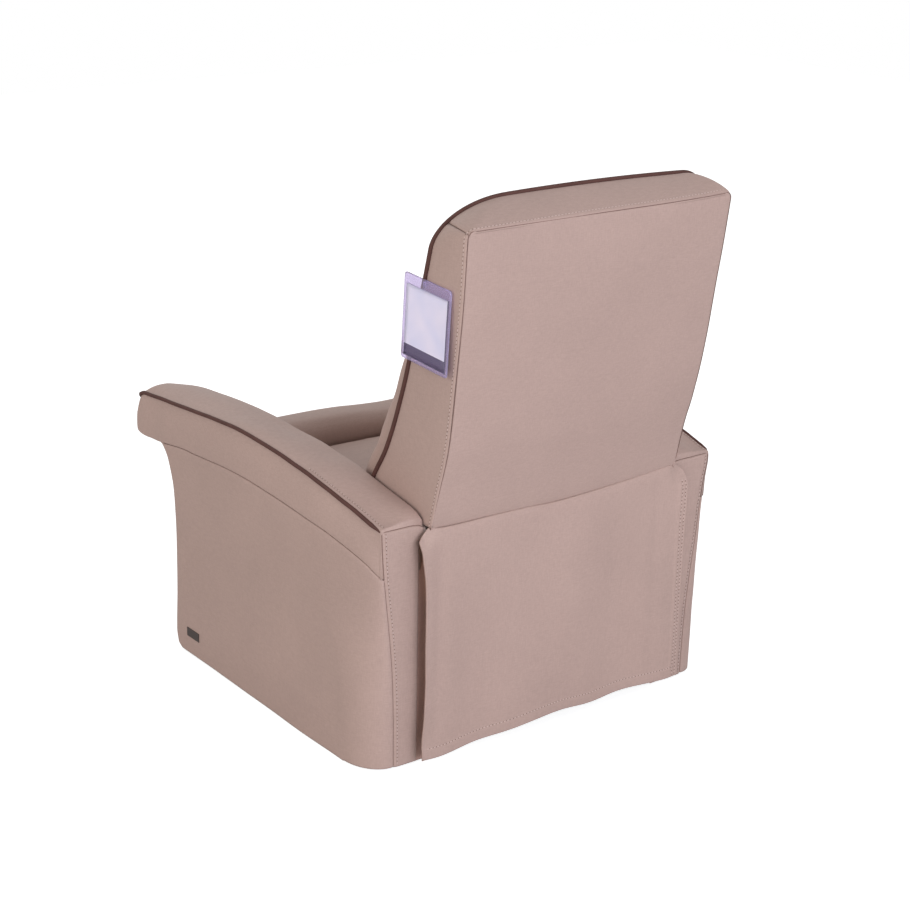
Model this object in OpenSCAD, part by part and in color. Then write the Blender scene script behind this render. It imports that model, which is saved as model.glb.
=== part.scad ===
// Reflexology chair: a powered reclining armchair with a lifting leg rest and a rear skirt.
// Millimetres, +Z up, the sitter faces -Y and the sitter's left arm is at +X.
// The origin lies on the floor, near the middle of the chair's width and depth.

/* [Overall] */
// Width over the two arm bands
chair_w = 800; // [740:5:900]
// Width of one arm
arm_w = 114; // [100:1:140]
// Depth of the arm base from its front face to its rear face
base_d = 668; // [620:2:720]
// Distance of the arms' rear face behind the origin
arm_rear_y = 348; // [330:1:370]
// Height of the glides that hold the arms off the floor
glide_h = 6; // [4:1:10]

/* [Arms] */
// Height of the highest point of the arm's piping
arm_h = 529; // [500:1:560]
// Reach of the arm's nose in front of the arm base
nose_reach = 155; // [120:1:170]
// How far the arm's top falls towards the seat
arm_top_fall = 4; // [0:1:14]
// How far the outer side of the band leans in at its top
band_lean = 11; // [0:1:14]
// Roundness of the nose seen from above
nose_plan_r = 10; // [6:1:30]
// Set-back of the side panel behind the padded band
band_bulge = 1.5; // [1:0.5:8]
// Thickness of the upholstered panels
panel_t = 6; // [4:1:8]
// Radius of the rear outer corner at the top
rear_r_top = 24; // [18:1:36]
// Radius of the rear outer corner at the floor
rear_r_foot = 56; // [40:1:64]
// Thickness of the timber of the frames
timber_t = 18; // [15:1:22]
// Radius of the piping
piping_r = 3.5; // [2:0.5:4]
// Radius of a glide
glide_r = 13; // [8:1:18]

/* [Seat] */
// Height of the seat cushion's edge
seat_h = 405; // [390:1:420]
// Thickness of the seat cushion
seat_t = 72; // [60:1:90]
// Crown of the seat cushion
seat_crown = 9; // [0:1:15]
// Height of the top of the front bolster
bolster_top = 451; // [440:1:470]
// Reach of the bolster in front of the arm base
bolster_reach = 10; // [0:1:20]
// Height of the underside of the bolster's deck board
deck_z = 372; // [365:1:378]
// Thickness of the boards
board_t = 12; // [9:1:15]
// Width of an elastic strap
strap_w = 50; // [40:1:60]
// Thickness of an elastic strap
strap_t = 2; // [1.5:0.5:3]

/* [Back] */
// Height of the piping at the top of the back's sides
back_h = 1018; // [980:2:1060]
// Crown of the back's top edge
back_crown = 8; // [0:1:14]
// Rearmost reach of the back behind the origin
back_rear_y = 465; // [440:1:480]
// Run of the back's front line from its foot to the rearmost point
back_run = 325; // [300:1:340]
// Drop of the rear panel's top edge below the piping
back_top_drop = 30; // [22:1:46]
// Radius of the upper corners along the piping
front_corner_r = 88; // [70:1:105]
// Radius of the upper corners along the rear panel
rear_corner_r = 14; // [10:1:40]
// How far each side of the back flares out between its waist and its top
back_flare = 8; // [0:1:12]
// Height of the rear panel's foot
back_foot_z = 457; // [450:1:465]
// Thickness of the boxing strips
boxing_t = 9; // [6:1:10]
// Thickness of the rear panel
rear_panel_t = 9; // [7:1:10]
// Thickness of the back cushions behind the piping
back_pad_t = 44; // [36:1:50]
// Reach of the lumbar cushion's edge in front of the piping
lumbar_lift = 28; // [10:1:34]
// Reach of the head cushion's edge in front of the piping
head_lift = 7; // [5:1:12]
// Crown of the lumbar cushion
lumbar_crown = 12; // [6:1:28]
// Crown of the head cushion
head_crown = 12; // [6:1:18]
// Height of the seam between the lumbar cushion and the head cushion
lumbar_seam_z = 732; // [700:2:760]

/* [Recline] */
// Depth of the back's pivot behind the origin
pivot_y = 346; // [344:1:348]
// Height of the back's pivot
pivot_z = 438; // [434:1:440]
// Radius of the tail board below the back, about the pivot
tail_r = 211; // [206:1:214]
// Radius of the pivot pins
pivot_r = 6; // [5:0.5:7]
// Angle that the back reclines through
recline_deg = 35; // [25:1:38]
// Travel of the recline rod
recline_stroke = 163; // [150:1:170]
// Drop of the recline rod's axis below the pivot
recline_drop = 233; // [228:1:238]

/* [Leg rest] */
// Height of the leg rest's hinge
leg_hinge_z = 360; // [358:1:362]
// Distance of the leg rest's hinge behind the front face of the arm base
leg_hinge_in = 4; // [2:1:8]
// Distance of the leg rest's rear face behind its hinge
leg_depth = 66; // [60:1:70]
// Length of the leg rest below its hinge
leg_len = 300; // [280:1:305]
// Angle that the leg rest lifts through
leg_deg = 80; // [70:1:80]
// Drop of the leg rod's axis below the leg rest's hinge
leg_drop = 118; // [116:1:120]

/* [Drives] */
// Radius of a drive's outer tube
tube_r = 17; // [15:1:19]
// Radius of a drive's rod
rod_r = 10; // [8:0.5:11]
// Radius of the pin at a rod's end
drive_pin_r = 5; // [4:0.5:6]
// Radius of the cross tubes that carry the drives
cross_r = 12.5; // [10:0.5:14]
// Radius of a drive's motor
motor_r = 25; // [20:1:27]
// Length of a drive's motor
motor_len = 96; // [80:2:110]
// Thickness of the steel levers
steel_t = 5; // [4:0.5:6]
// Distance of each drive's axis from the middle of the chair
drive_x = 60; // [50:1:75]

/* [Skirt and trim] */
// Half width of the skirt at its shoulder
skirt_half_w = 307; // [300:1:315]
// Height of the skirt's shoulder
skirt_shoulder_z = 434; // [425:1:440]
// Height of the skirt's lower edge above the floor
skirt_foot_z = 17; // [12:1:30]
// Thickness of the skirt's cloth
cloth_t = 2; // [1.5:0.5:3]
// Depth of the skirt's soft folds
fold_depth = 4; // [0:0.5:5]
// Width of the hang tag
tag_w = 130; // [100:1:140]
// Height of the hang tag
tag_h = 150; // [120:1:160]
// Length of the bare label on the arm
label_l = 45; // [35:1:55]
// Height of the bare label on the arm
label_h = 18; // [12:1:24]
// Radius of a push button
button_r = 9; // [7:0.5:11]
// Travel of a push button
button_travel = 1.3; // [0.8:0.1:1.5]

/* [Hidden] */
$fn = 40;

// Clearances
gap = 0.3;       // between pieces that do not move on each other
run_gap = 0.05;  // radial, round a turning pin
side_gap = 4;    // each side of the back, the seat and the leg rest
free_gap = 2;    // between soft pieces that pass each other
curve_gap = 0.8; // between curved faces that are cut into flats
cut = 1;         // overrun of a cut

// Places that several pieces share
half_w = chair_w / 2;
inner_x = half_w - arm_w;
side_x = half_w - band_bulge;
arm_front_y = arm_rear_y - base_d;
nose_y = arm_front_y - nose_reach;
arm_len = base_d + nose_reach;
back_x = inner_x - side_gap;
bolster_front_y = arm_front_y - bolster_reach;
hinge_y = arm_front_y + leg_hinge_in;
leg_rear_y = hinge_y + leg_depth;
seat_front_y = leg_rear_y + 2 * free_gap;
bolster_rear_y = seat_front_y + timber_t;
leg_foot_z = leg_hinge_z - leg_len;
leg_front_y = bolster_front_y + bolster_reach / 3;
boxing_crown = 2;  // outward bow of a boxing strip
flare_z = [600, 920];  // between these heights the back's sides flare out
recline_z = pivot_z - recline_drop;
leg_z = leg_hinge_z - leg_drop;

// Outlines of the arm as shares: along the arm from the nose, and of the arm's height
arm_top_shares = [[0, 0.865], [0.0053, 0.899], [0.0146, 0.935], [0.0232, 0.952], [0.0532, 0.9555],
  [0.1125, 0.9633], [0.1707, 0.9686], [0.2277, 0.9753], [0.2837, 0.9811], [0.3387, 0.9876],
  [0.3925, 0.9917], [0.4455, 0.9957], [0.4973, 0.9949], [0.5483, 0.9912], [0.5984, 0.9868],
  [0.6476, 0.981], [0.6956, 0.9723], [0.7413, 0.9634], [0.7854, 0.9504], [0.8283, 0.9376],
  [0.87, 0.9228], [0.9107, 0.9089], [0.9505, 0.8914], [0.9766, 0.8799], [1, 0.872]];
arm_foot_shares = [[0, 0.849], [0.0018, 0.8204], [0.0045, 0.8096], [0.0139, 0.7934],
  [0.0362, 0.7843], [0.0617, 0.783], [0.1025, 0.7875], [0.131, 0.795], [0.161, 0.8008],
  [0.225, 0.813], [0.273, 0.8157], [0.32, 0.8195], [0.413, 0.8276], [0.502, 0.8293],
  [0.589, 0.8233], [0.673, 0.8155], [0.755, 0.8038], [0.835, 0.7898], [0.9125, 0.7639],
  [0.9605, 0.7382], [0.9875, 0.7108], [1, 0.6947]];
arm_station_shares = [0, 0.005, 0.013, 0.024, 0.045, 0.08, 0.13, 0.18, 0.24, 0.31, 0.39,
  0.48, 0.57, 0.66, 0.75, 0.83, 0.9, 0.95, 0.975, 0.99, 1];
// The front line and the rear line of the back: height as a share of back_h, and how far the
// line lies in front of the rearmost point as a share of back_run
back_front_shares = [[0.4045, 0.992], [0.4386, 0.913], [0.4864, 0.8325], [0.5497, 0.7094],
  [0.65, 0.5765], [0.7125, 0.5026], [0.8567, 0.352], [0.923, 0.293], [1.01, 0.226]];
back_rear_shares = [[0.43, 0.306], [0.449, 0.293], [0.507, 0.251], [0.595, 0.179],
  [0.731, 0.105], [0.86, 0.037], [0.965, 0]];
// Soft outline of a stuffed pad from its rear face to its crown: set-in and height
pad_edge_shares = [[0.75, 0], [0.2, 0.1], [0, 0.35], [0, 0.62], [0.22, 0.84], [0.62, 0.96]];
pad_crown_shares = [0.08, 0.22, 0.42, 0.66, 0.9];

// Smooth interpolation through the points p at t
function seg(t, p, i = 0) = i >= len(p) - 2 || t <= p[i + 1][0] ? i : seg(t, p, i + 1);
function slope(p, i) =
  let (a = max(i - 1, 0), b = min(i + 1, len(p) - 1))
  (p[b][1] - p[a][1]) / (p[b][0] - p[a][0]);
function smooth(t, p) =
  let (i = seg(t, p), h = p[i + 1][0] - p[i][0], u = min(max((t - p[i][0]) / h, 0), 1),
    m0 = slope(p, i) * h, m1 = slope(p, i + 1) * h)
  (2 * u^3 - 3 * u^2 + 1) * p[i][1] + (u^3 - 2 * u^2 + u) * m0
    + (3 * u^2 - 2 * u^3) * p[i + 1][1] + (u^3 - u^2) * m1;
function mix(a, b, t) = a + (b - a) * t;
function spow(v, e) = sign(v) * pow(abs(v), e);

// Lines of the chair
function arm_top(y) = arm_h * smooth((y - nose_y) / arm_len, arm_top_shares);
function arm_foot(y) = arm_h * smooth((y - nose_y) / arm_len, arm_foot_shares);
function back_front(z) = back_rear_y - back_run * smooth(z / back_h, back_front_shares);
function back_rear(z) = back_rear_y - back_run * smooth(z / back_h, back_rear_shares);
// How much wider the back is at a height than at its foot, as a factor
function widen(z) =
  let (u = max(0, min(1, (z - flare_z[0]) / (flare_z[1] - flare_z[0]))))
  1 + back_flare / back_x * u^2 * (3 - 2 * u);

// A closed skin round a stack of rings with equal counts of points, with fans at both ends
module loft(rings) {
  n = len(rings[0]);
  m = len(rings);
  points = concat([for (r = rings) each r],
    [[for (k = [0:2]) [for (p = rings[0]) p[k]] * [for (p = rings[0]) 1] / n],
     [for (k = [0:2]) [for (p = rings[m - 1]) p[k]] * [for (p = rings[0]) 1] / n]]);
  sides = [for (j = [0:m - 2]) for (i = [0:n - 1])
    let (a = j * n + i, b = j * n + (i + 1) % n)
    each [[a, b + n, b], [a, a + n, b + n]]];
  first = [for (i = [0:n - 1]) [m * n, i, (i + 1) % n]];
  last = [for (i = [0:n - 1]) [m * n + 1, (m - 1) * n + (i + 1) % n, (m - 1) * n + i]];
  polyhedron(points, concat(first, sides, last));
}

// A sheet with thickness between two grids of points of the same rows and columns
module sheet(front, back) {
  r = len(front);
  c = len(front[0]);
  n = r * c;
  function at(i, j, s) = s * n + i * c + j;
  faces = concat(
    [for (i = [0:r - 2]) for (j = [0:c - 2])
      each [[at(i, j, 0), at(i, j + 1, 0), at(i + 1, j + 1, 0)],
        [at(i, j, 0), at(i + 1, j + 1, 0), at(i + 1, j, 0)],
        [at(i, j, 1), at(i + 1, j + 1, 1), at(i, j + 1, 1)],
        [at(i, j, 1), at(i + 1, j, 1), at(i + 1, j + 1, 1)]]],
    [for (j = [0:c - 2])
      each [[at(0, j, 0), at(0, j + 1, 1), at(0, j + 1, 0)],
        [at(0, j, 0), at(0, j, 1), at(0, j + 1, 1)],
        [at(r - 1, j, 0), at(r - 1, j + 1, 0), at(r - 1, j + 1, 1)],
        [at(r - 1, j, 0), at(r - 1, j + 1, 1), at(r - 1, j, 1)]]],
    [for (i = [0:r - 2])
      each [[at(i, 0, 0), at(i + 1, 0, 0), at(i + 1, 0, 1)],
        [at(i, 0, 0), at(i + 1, 0, 1), at(i, 0, 1)],
        [at(i, c - 1, 0), at(i + 1, c - 1, 1), at(i + 1, c - 1, 0)],
        [at(i, c - 1, 0), at(i, c - 1, 1), at(i + 1, c - 1, 1)]]]);
  polyhedron(concat([for (g = [front, back]) for (row = g) for (p = row) p]), faces);
}

// A round cord of radius r along a path; up is a direction that no stretch of it follows
tube_sides = 8;
module cord(path, r, up) {
  n = len(path);
  function unit(v) = v / norm(v);
  loft([for (i = [0:n - 1])
    let (t = unit(path[min(i + 1, n - 1)] - path[max(i - 1, 0)]), u = unit(cross(t, up)),
      w = cross(t, u))
    [for (k = [0:tube_sides - 1])
      path[i] + r * (cos(k * 360 / tube_sides) * u + sin(k * 360 / tube_sides) * w)]]);
}

// Extrudes a (y, z) outline along X from x0 to x1
module across(x0, x1) {
  translate([min(x0, x1), 0, 0]) rotate([90, 0, 90]) linear_extrude(abs(x1 - x0)) children();
}

// A box between two corners
module box(a, b) {
  translate([min(a.x, b.x), min(a.y, b.y), min(a.z, b.z)])
    cube([abs(b.x - a.x), abs(b.y - a.y), abs(b.z - a.z)]);
}

// A rod along X, centred on x
module x_rod(x, y, z, r, l) {
  translate([x - l / 2, y, z]) rotate([0, 90, 0]) cylinder(r = r, h = l);
}

// A rod along Y between y0 and y1
module y_rod(x, z, r, y0, y1) {
  translate([x, min(y0, y1), z]) rotate([-90, 0, 0]) cylinder(r = r, h = abs(y1 - y0));
}

// Rings of a stuffed pad, w by d, with corner radii r = [at +y, at -y]
arc_k = 3;
side_k = 7;
function pad_ring(w, d, z, r) =
  let (
    rs = [for (q = [0:3]) max(min(q < 2 ? r[0] : r[1], w / 2, d / 2), gap)],
    sx = [1, -1, -1, 1], sy = [1, 1, -1, -1],
    c = [for (q = [0:3]) [sx[q] * (w / 2 - rs[q]), sy[q] * (d / 2 - rs[q])]])
  [for (q = [0:3])
    let (n = (q + 1) % 4, a = 90 * (q + 1), end = c[q] + rs[q] * [cos(a), sin(a)],
      start = c[n] + rs[n] * [cos(a), sin(a)])
    each concat(
      [for (k = [0:arc_k])
        let (b = 90 * (q + k / arc_k), p = c[q] + rs[q] * [cos(b), sin(b)]) [p.x, p.y, z]],
      [for (k = [1:side_k]) let (p = mix(end, start, k / (side_k + 1))) [p.x, p.y, z]])];
function inset_ring(w, d, in, z, r) =
  pad_ring(w - 2 * in, d - 2 * in, z, [for (a = r) max(a - in, gap)]);
function crown_rings(w, d, in0, z, crown, r) = [for (s = pad_crown_shares)
  let (in = mix(in0, min(w, d) / 2, s))
  pad_ring(w - 2 * in, d - 2 * in, z + crown * (1 - (1 - s)^2),
    [for (a = r) mix(max(a - in0, gap), min(w, d) / 2 - in, sqrt(s))])];
// A pad of thickness t lying on its back face, rolled over at its edges, with a crown
function pad_rings(w, d, t, crown, roll, r) = concat(
  [for (s = pad_edge_shares) inset_ring(w, d, roll * s[0], t * s[1], r)],
  crown_rings(w, d, roll, t, crown, r));

// Arms: the left one is modelled and the right one mirrors it
module on_side(side) {
  if (side > 0) children();
  else mirror([1, 0, 0]) children();
}

// Plan radius of the rear outer corner at a height
function corner_r(z) = mix(rear_r_foot, rear_r_top, min(z / arm_h, 1));

frame_in = panel_t + free_gap;
post_d = 32;
pad_base_t = timber_t;
function arm_board_line(y0, y1, down) = [for (k = [0:10])
  let (y = mix(y0, y1, k / 10)) [y, arm_foot(y) - curve_gap - down]];
module arm_frame(side) {
  x0 = inner_x + frame_in;
  x1 = side_x - frame_in - timber_t;
  y0 = arm_front_y + frame_in;
  y1 = arm_rear_y - rear_r_foot;
  foot_z = glide_h + gap;
  rail_top = foot_z + post_d;
  color("burlywood") on_side(side) {
    box([x0, y0, foot_z], [x1, y1, rail_top]);
    box([x0, y0, rail_top + gap], [x1, y0 + post_d, arm_foot(y0) - 2 * pad_base_t]);
    box([x0, y1 - post_d, rail_top + gap], [x1, y1, arm_foot(y1) - 2 * pad_base_t]);
    across(x0, x1)
      polygon(concat(arm_board_line(y0, y1, 0),
        [[y1, arm_foot(y1) - 2 * pad_base_t + gap], [y0, arm_foot(y0) - 2 * pad_base_t + gap]]));
  }
}

// The outer side panel: flat along the side and rounded into the rear face
plan_shares = [0, 0.12, 0.25, 0.38, 0.5, 0.62, 0.74, 0.86, 1];
corner_steps = 6;
wall_rows = 4;
function wall_point(s, corner, t, z) =
  let (r = corner_r(z), ry = arm_rear_y - r)
  corner < 0 ? [side_x - t, mix(arm_front_y + panel_t + gap, ry, s)]
  : [side_x - r + (r - t) * cos(corner), ry + (r - t) * sin(corner)];
function wall_column(s, corner, t) =
  [for (k = [0:wall_rows])
    let (
      guess = wall_point(s, corner, t, arm_h / 2),
      top = arm_foot(guess.y) - gap,
      z = mix(glide_h, top, k / wall_rows),
      p = wall_point(s, corner, t, z))
    [p.x, p.y, z]];
function wall_grid(t) = concat(
  [for (s = plan_shares) wall_column(s, -1, t)],
  [for (k = [1:corner_steps]) wall_column(1, 90 * k / corner_steps, t)]);
module outer_panel(side) {
  color("rosybrown") on_side(side) sheet(wall_grid(0), wall_grid(panel_t));
}

// The inner panel of an arm, with holes for the cross tubes
module inner_panel(side) {
  y0 = arm_front_y + panel_t + gap;
  y1 = arm_rear_y - panel_t - gap;
  color("rosybrown") on_side(side) difference() {
    across(inner_x, inner_x + panel_t)
      polygon(concat([[y1, glide_h], [y0, glide_h]], arm_board_line(y0, y1, 0)));
    for (i = [0, 1])
      x_rod(inner_x, cross_tube_y[i], cross_tube_z[i], cross_r + run_gap, 2 * (panel_t + cut));
  }
}

// The front panel of an arm curves forward under the nose
front_curve_shares = [[0, 0], [0.7, 0], [0.85, 0.02], [0.91, 0.06], [0.965, 0.17], [0.99, 0.3]];
module front_panel(side) {
  top = arm_foot(arm_front_y - nose_reach / 2) - gap;
  front = [for (s = front_curve_shares)
    [arm_front_y - nose_reach * s[1], mix(glide_h, top, s[0])]];
  back = [for (i = [len(front) - 1:-1:0]) [front[i].x + panel_t, front[i].y]];
  color("rosybrown") on_side(side)
    across(inner_x, side_x) polygon(concat(front, back));
}

// The strip of the arm's rear face between the corner seam and the seat
module rear_strip(side) {
  function row(z, y) = [[inner_x, y, z], [side_x - corner_r(z) - gap, y, z]];
  top = arm_foot(arm_rear_y) - gap;
  levels = [for (k = [0:wall_rows]) mix(glide_h, top, k / wall_rows)];
  color("rosybrown") on_side(side)
    sheet([for (z = levels) row(z, arm_rear_y)], [for (z = levels) row(z, arm_rear_y - panel_t)]);
}

// The padded cap of an arm: band, top and nose in one upholstered piece
cap_n = 28;
cap_power = 0.4;
nose_flat_share = 0.6;
function round_in(d, r) = d >= r ? 0 : r - sqrt(max(r^2 - (r - d)^2, 0));
function cap_ring(y) =
  let (
    front_in = round_in(y - nose_y, nose_plan_r) * nose_flat_share,
    rear_in = round_in(arm_rear_y - y, rear_r_top),
    x0 = inner_x + front_in,
    x1 = half_w - front_in - rear_in,
    z0 = arm_foot(y),
    z1 = arm_top(y),
    cx = (x0 + x1) / 2, cz = (z0 + z1) / 2, hx = (x1 - x0) / 2, hz = (z1 - z0) / 2)
  [for (i = [0:cap_n - 1])
    let (a = -i * 360 / cap_n, u = spow(cos(a), cap_power), v = spow(sin(a), cap_power))
    [cx + hx * u - band_lean * max(u, 0) * max(v, 0), y,
      cz + hz * v - arm_top_fall * (1 - u) / 2 * max(v, 0)]];
module arm_pad(side) {
  color("rosybrown") on_side(side)
    loft([for (s = arm_station_shares) cap_ring(nose_y + arm_len * s)]);
}

// The piping along the outer top edge of an arm
piping_in_share = 1.55;
piping_lean_share = 0.6;
piping_end_shares = [0.02, 0.98];
function arm_piping_point(s) =
  let (
    y = nose_y + arm_len * s,
    rear_in = round_in(arm_rear_y - y, rear_r_top),
    front_in = round_in(y - nose_y, nose_plan_r) * nose_flat_share)
  [half_w - front_in - rear_in - piping_r * piping_in_share - band_lean * piping_lean_share, y,
    arm_top(y) - piping_r];
module arm_piping(side) {
  color([0.3, 0.22, 0.21]) on_side(side)
    cord([for (s = arm_station_shares)
      if (s > piping_end_shares[0] && s < piping_end_shares[1]) arm_piping_point(s)],
      piping_r, [1, 0, 0.7]);
}

// The glides under the corners of the arms
module glides() {
  in = panel_t + glide_r + 3 * free_gap;
  color("black")
    for (sx = [-1, 1], y = [arm_front_y + in, arm_rear_y - rear_r_foot])
      translate([sx * (side_x - in - glide_r), y, 0]) cylinder(r = glide_r, h = glide_h - gap);
}

// The bare label at the foot of the left arm's outer side
label_t = 1.2;
label_in = 34;
label_z = 40;
module side_label() {
  color([0.29, 0.25, 0.24])
    box([side_x + gap / 3, arm_front_y + label_in, label_z],
      [side_x + gap / 3 + label_t, arm_front_y + label_in + label_l, label_z + label_h]);
}

// Seat frame: rails of timber between the arms
rail_h = 45;
seat_rail_top = seat_h - seat_t - strap_t - 2 * gap;
front_rail_h = 58;
seat_rear_y = pivot_y - tail_r - 2 * free_gap;
rail_x = inner_x - gap;
module seat_frame_rails() {
  color("burlywood") {
    box([-rail_x, seat_front_y, deck_z - gap - front_rail_h],
      [rail_x, seat_front_y + timber_t, deck_z - gap]);
    box([-rail_x, seat_rear_y - 2 * timber_t, seat_rail_top - rail_h],
      [rail_x, seat_rear_y - timber_t, seat_rail_top]);
    for (s = [-1, 1])
      box([s * rail_x, seat_front_y + timber_t + gap, seat_rail_top - rail_h],
        [s * (rail_x - timber_t), seat_rear_y - 2 * timber_t - gap, seat_rail_top]);
  }
}

// Rails at the foot of the frame, front and rear
foot_rail_z = 40;
foot_rail_h = 50;
foot_rail_ys = [seat_front_y, arm_rear_y - 2 * timber_t];
module bottom_rails() {
  color("burlywood")
    for (y = foot_rail_ys)
      box([-rail_x, y, foot_rail_z], [rail_x, y + timber_t, foot_rail_z + foot_rail_h]);
}

// The deck board that carries the bolster and the leg rest's hinges
module front_deck() {
  color("burlywood")
    box([-rail_x, hinge_y - 2 * free_gap, deck_z],
      [rail_x, bolster_rear_y, deck_z + board_t]);
}

// The bolster across the front of the seat
bolster_n = 28;
bolster_shares = [0, 0.012, 0.04, 0.15, 0.5, 0.85, 0.96, 0.988, 1];
bolster_end_shares = [0.72, 0.86, 0.95, 1, 1, 1, 0.95, 0.86, 0.72];
module front_bolster() {
  z0 = deck_z + board_t + gap;
  cy = (bolster_front_y + bolster_rear_y) / 2;
  cz = (z0 + bolster_top) / 2;
  hy = (bolster_rear_y - bolster_front_y) / 2;
  hz = (bolster_top - z0) / 2;
  color("rosybrown")
    loft([for (k = [0:len(bolster_shares) - 1])
      let (x = mix(-back_x, back_x, bolster_shares[k]), e = bolster_end_shares[k])
      [for (i = [0:bolster_n - 1])
        let (a = i * 360 / bolster_n, v = spow(sin(a), sin(a) > 0 ? 0.75 : 0.4))
        [x, cy + hy * e * spow(cos(a), 0.62), v < 0 ? cz + hz * v : cz + hz * e * v]]]);
}

// The seat cushion on its elastic straps
seat_roll = 16;
module seat_cushion() {
  y0 = bolster_rear_y + gap;
  y1 = seat_rear_y;
  color("rosybrown")
    translate([0, (y0 + y1) / 2, seat_h - seat_t])
      loft(pad_rings(2 * back_x, y1 - y0, seat_t, seat_crown, seat_roll, [seat_roll, seat_roll]));
}
strap_count = 5;
module seat_straps() {
  pitch = 2 * rail_x / (strap_count + 1);
  color("dimgray")
    for (i = [1:strap_count])
      let (x = -rail_x + i * pitch)
        box([x - strap_w / 2, seat_front_y + timber_t + gap, seat_rail_top + gap],
          [x + strap_w / 2, seat_rear_y - timber_t, seat_rail_top + gap + strap_t]);
}

// The dust cover under the seat
module dust_cover() {
  color("black")
    box([-rail_x, foot_rail_ys[0], foot_rail_z - gap - strap_t],
      [rail_x, foot_rail_ys[1] + timber_t, foot_rail_z - gap]);
}

// Steel tubes from arm to arm that carry the two drives: front one, then rear one
front_tube_in = 170;
rear_tube_in = 228;
cross_tube_y = [arm_front_y + front_tube_in, arm_rear_y - rear_tube_in];
cross_tube_z = [recline_z, leg_z];
module cross_tubes() {
  color("dimgray")
    for (i = [0, 1])
      difference() {
        x_rod(0, cross_tube_y[i], cross_tube_z[i], cross_r, 2 * (inner_x + panel_t));
        x_rod(0, cross_tube_y[i], cross_tube_z[i], cross_r - strap_t, 2 * (inner_x + panel_t + cut));
      }
}

// The back's pivots: a plate on each arm's inner side and a pin that reaches into the back's stile
plate_r = 13;
plate_l = 84;
plate_t = side_gap - 2 * gap;
plate_x = inner_x - gap - plate_t / 2;
stile_x = back_x - boxing_t - boxing_crown - free_gap;
pin_head_rim = 4;
pin_head_r = pivot_r + pin_head_rim;
pin_head_t = 3;
module pivot_plates() {
  color("silver")
    for (s = [-1, 1])
      difference() {
        union() {
          x_rod(s * plate_x, pivot_y, pivot_z, plate_r, plate_t);
          box([s * (plate_x - plate_t / 2), pivot_y - plate_l, pivot_z - plate_r],
            [s * (plate_x + plate_t / 2), pivot_y, pivot_z + plate_r]);
        }
        x_rod(s * plate_x, pivot_y, pivot_z, pivot_r + run_gap, 2 * plate_t);
      }
}
module pivot_pins() {
  x1 = inner_x - gap;
  x0 = stile_x - timber_t - gap;
  color("silver")
    for (s = [-1, 1]) {
      x_rod(s * (x0 + x1) / 2, pivot_y, pivot_z, pivot_r, x1 - x0);
      x_rod(s * (x0 - pin_head_t / 2), pivot_y, pivot_z, pin_head_r, pin_head_t);
    }
}

// Hinges of the leg rest: two ears under the deck on each side, one ear between them
leg_hinge_x = 200;
leg_hinge_xs = [-leg_hinge_x, leg_hinge_x];
leg_pin_r = 3;
ear_r = 7;
ear_gap = 0.5;
module leg_hinge_brackets() {
  color("silver")
    for (x = leg_hinge_xs) {
      for (s = [-1, 1])
        difference() {
          union() {
            x_rod(x + s * (steel_t + ear_gap), hinge_y, leg_hinge_z, ear_r, steel_t);
            box([x + s * (steel_t / 2 + ear_gap), hinge_y - ear_r, leg_hinge_z],
              [x + s * (steel_t * 1.5 + ear_gap), hinge_y + ear_r, deck_z - gap]);
          }
          x_rod(x, hinge_y, leg_hinge_z, leg_pin_r, 4 * steel_t);
        }
    }
}
module leg_hinge_pins() {
  color("gray")
    for (x = leg_hinge_xs)
      x_rod(x, hinge_y, leg_hinge_z, leg_pin_r - run_gap, 3 * steel_t + 2 * ear_gap);
}

// Drives: a gear case with its motor, clamped on a cross tube, and a tube that guides the rod
case_w = 56;
case_len = 72;
case_h = 54;
tube_wall = 4;
rod_end_gap = 4;   // behind the rod when it is drawn in
rod_hold = 27;     // length of rod in the tube when it is run out
clamp_in = cross_r + 2 * tube_wall;
case_end = case_len - clamp_in;
bore_start = case_end + gap + 2 * tube_wall;
module drive_case(x, tube_y, z, dir) {
  y0 = tube_y - dir * clamp_in;
  y1 = y0 + dir * case_len;
  difference() {
    union() {
      box([x - case_w / 2, y0, z - case_h / 2], [x + case_w / 2, y1, z + case_h / 2]);
      y_rod(x, z - case_h / 2 - motor_r + free_gap, motor_r, y0, y0 + dir * motor_len);
    }
    x_rod(x, tube_y, z, cross_r + run_gap, case_w + 2 * cut);
  }
}
// drawn is the distance from the cross tube to the rod's pin with the rod drawn in
function rod_len(drawn) = drawn - bore_start - rod_end_gap;
module drive_tube(x, tube_y, z, dir, drawn, stroke) {
  y0 = tube_y + dir * (case_end + gap);
  y1 = tube_y + dir * (drawn + stroke - rod_len(drawn) + rod_hold);
  difference() {
    y_rod(x, z, tube_r, y0, y1);
    y_rod(x, z, rod_r + run_gap, tube_y + dir * bore_start, y1 + dir * cut);
  }
}
recline_pin_ahead = 10;
recline_pin_y = pivot_y - recline_pin_ahead;
recline_drawn = recline_pin_y - recline_stroke - cross_tube_y[0];
leg_reach = leg_drop * tan(leg_deg / 2);
leg_stroke = 2 * leg_reach;
leg_pin_y = hinge_y + leg_reach;
leg_drawn = cross_tube_y[1] - leg_pin_y;
module recline_motor() {
  color([0.2, 0.2, 0.2]) drive_case(-drive_x, cross_tube_y[0], cross_tube_z[0], 1);
}
module recline_outer_tube() {
  color("darkgray")
    drive_tube(-drive_x, cross_tube_y[0], cross_tube_z[0], 1, recline_drawn, recline_stroke);
}
module leg_motor() {
  color([0.2, 0.2, 0.2]) drive_case(drive_x, cross_tube_y[1], cross_tube_z[1], -1);
}
module leg_outer_tube() {
  color("darkgray")
    drive_tube(drive_x, cross_tube_y[1], cross_tube_z[1], -1, leg_drawn, leg_stroke);
}

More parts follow.
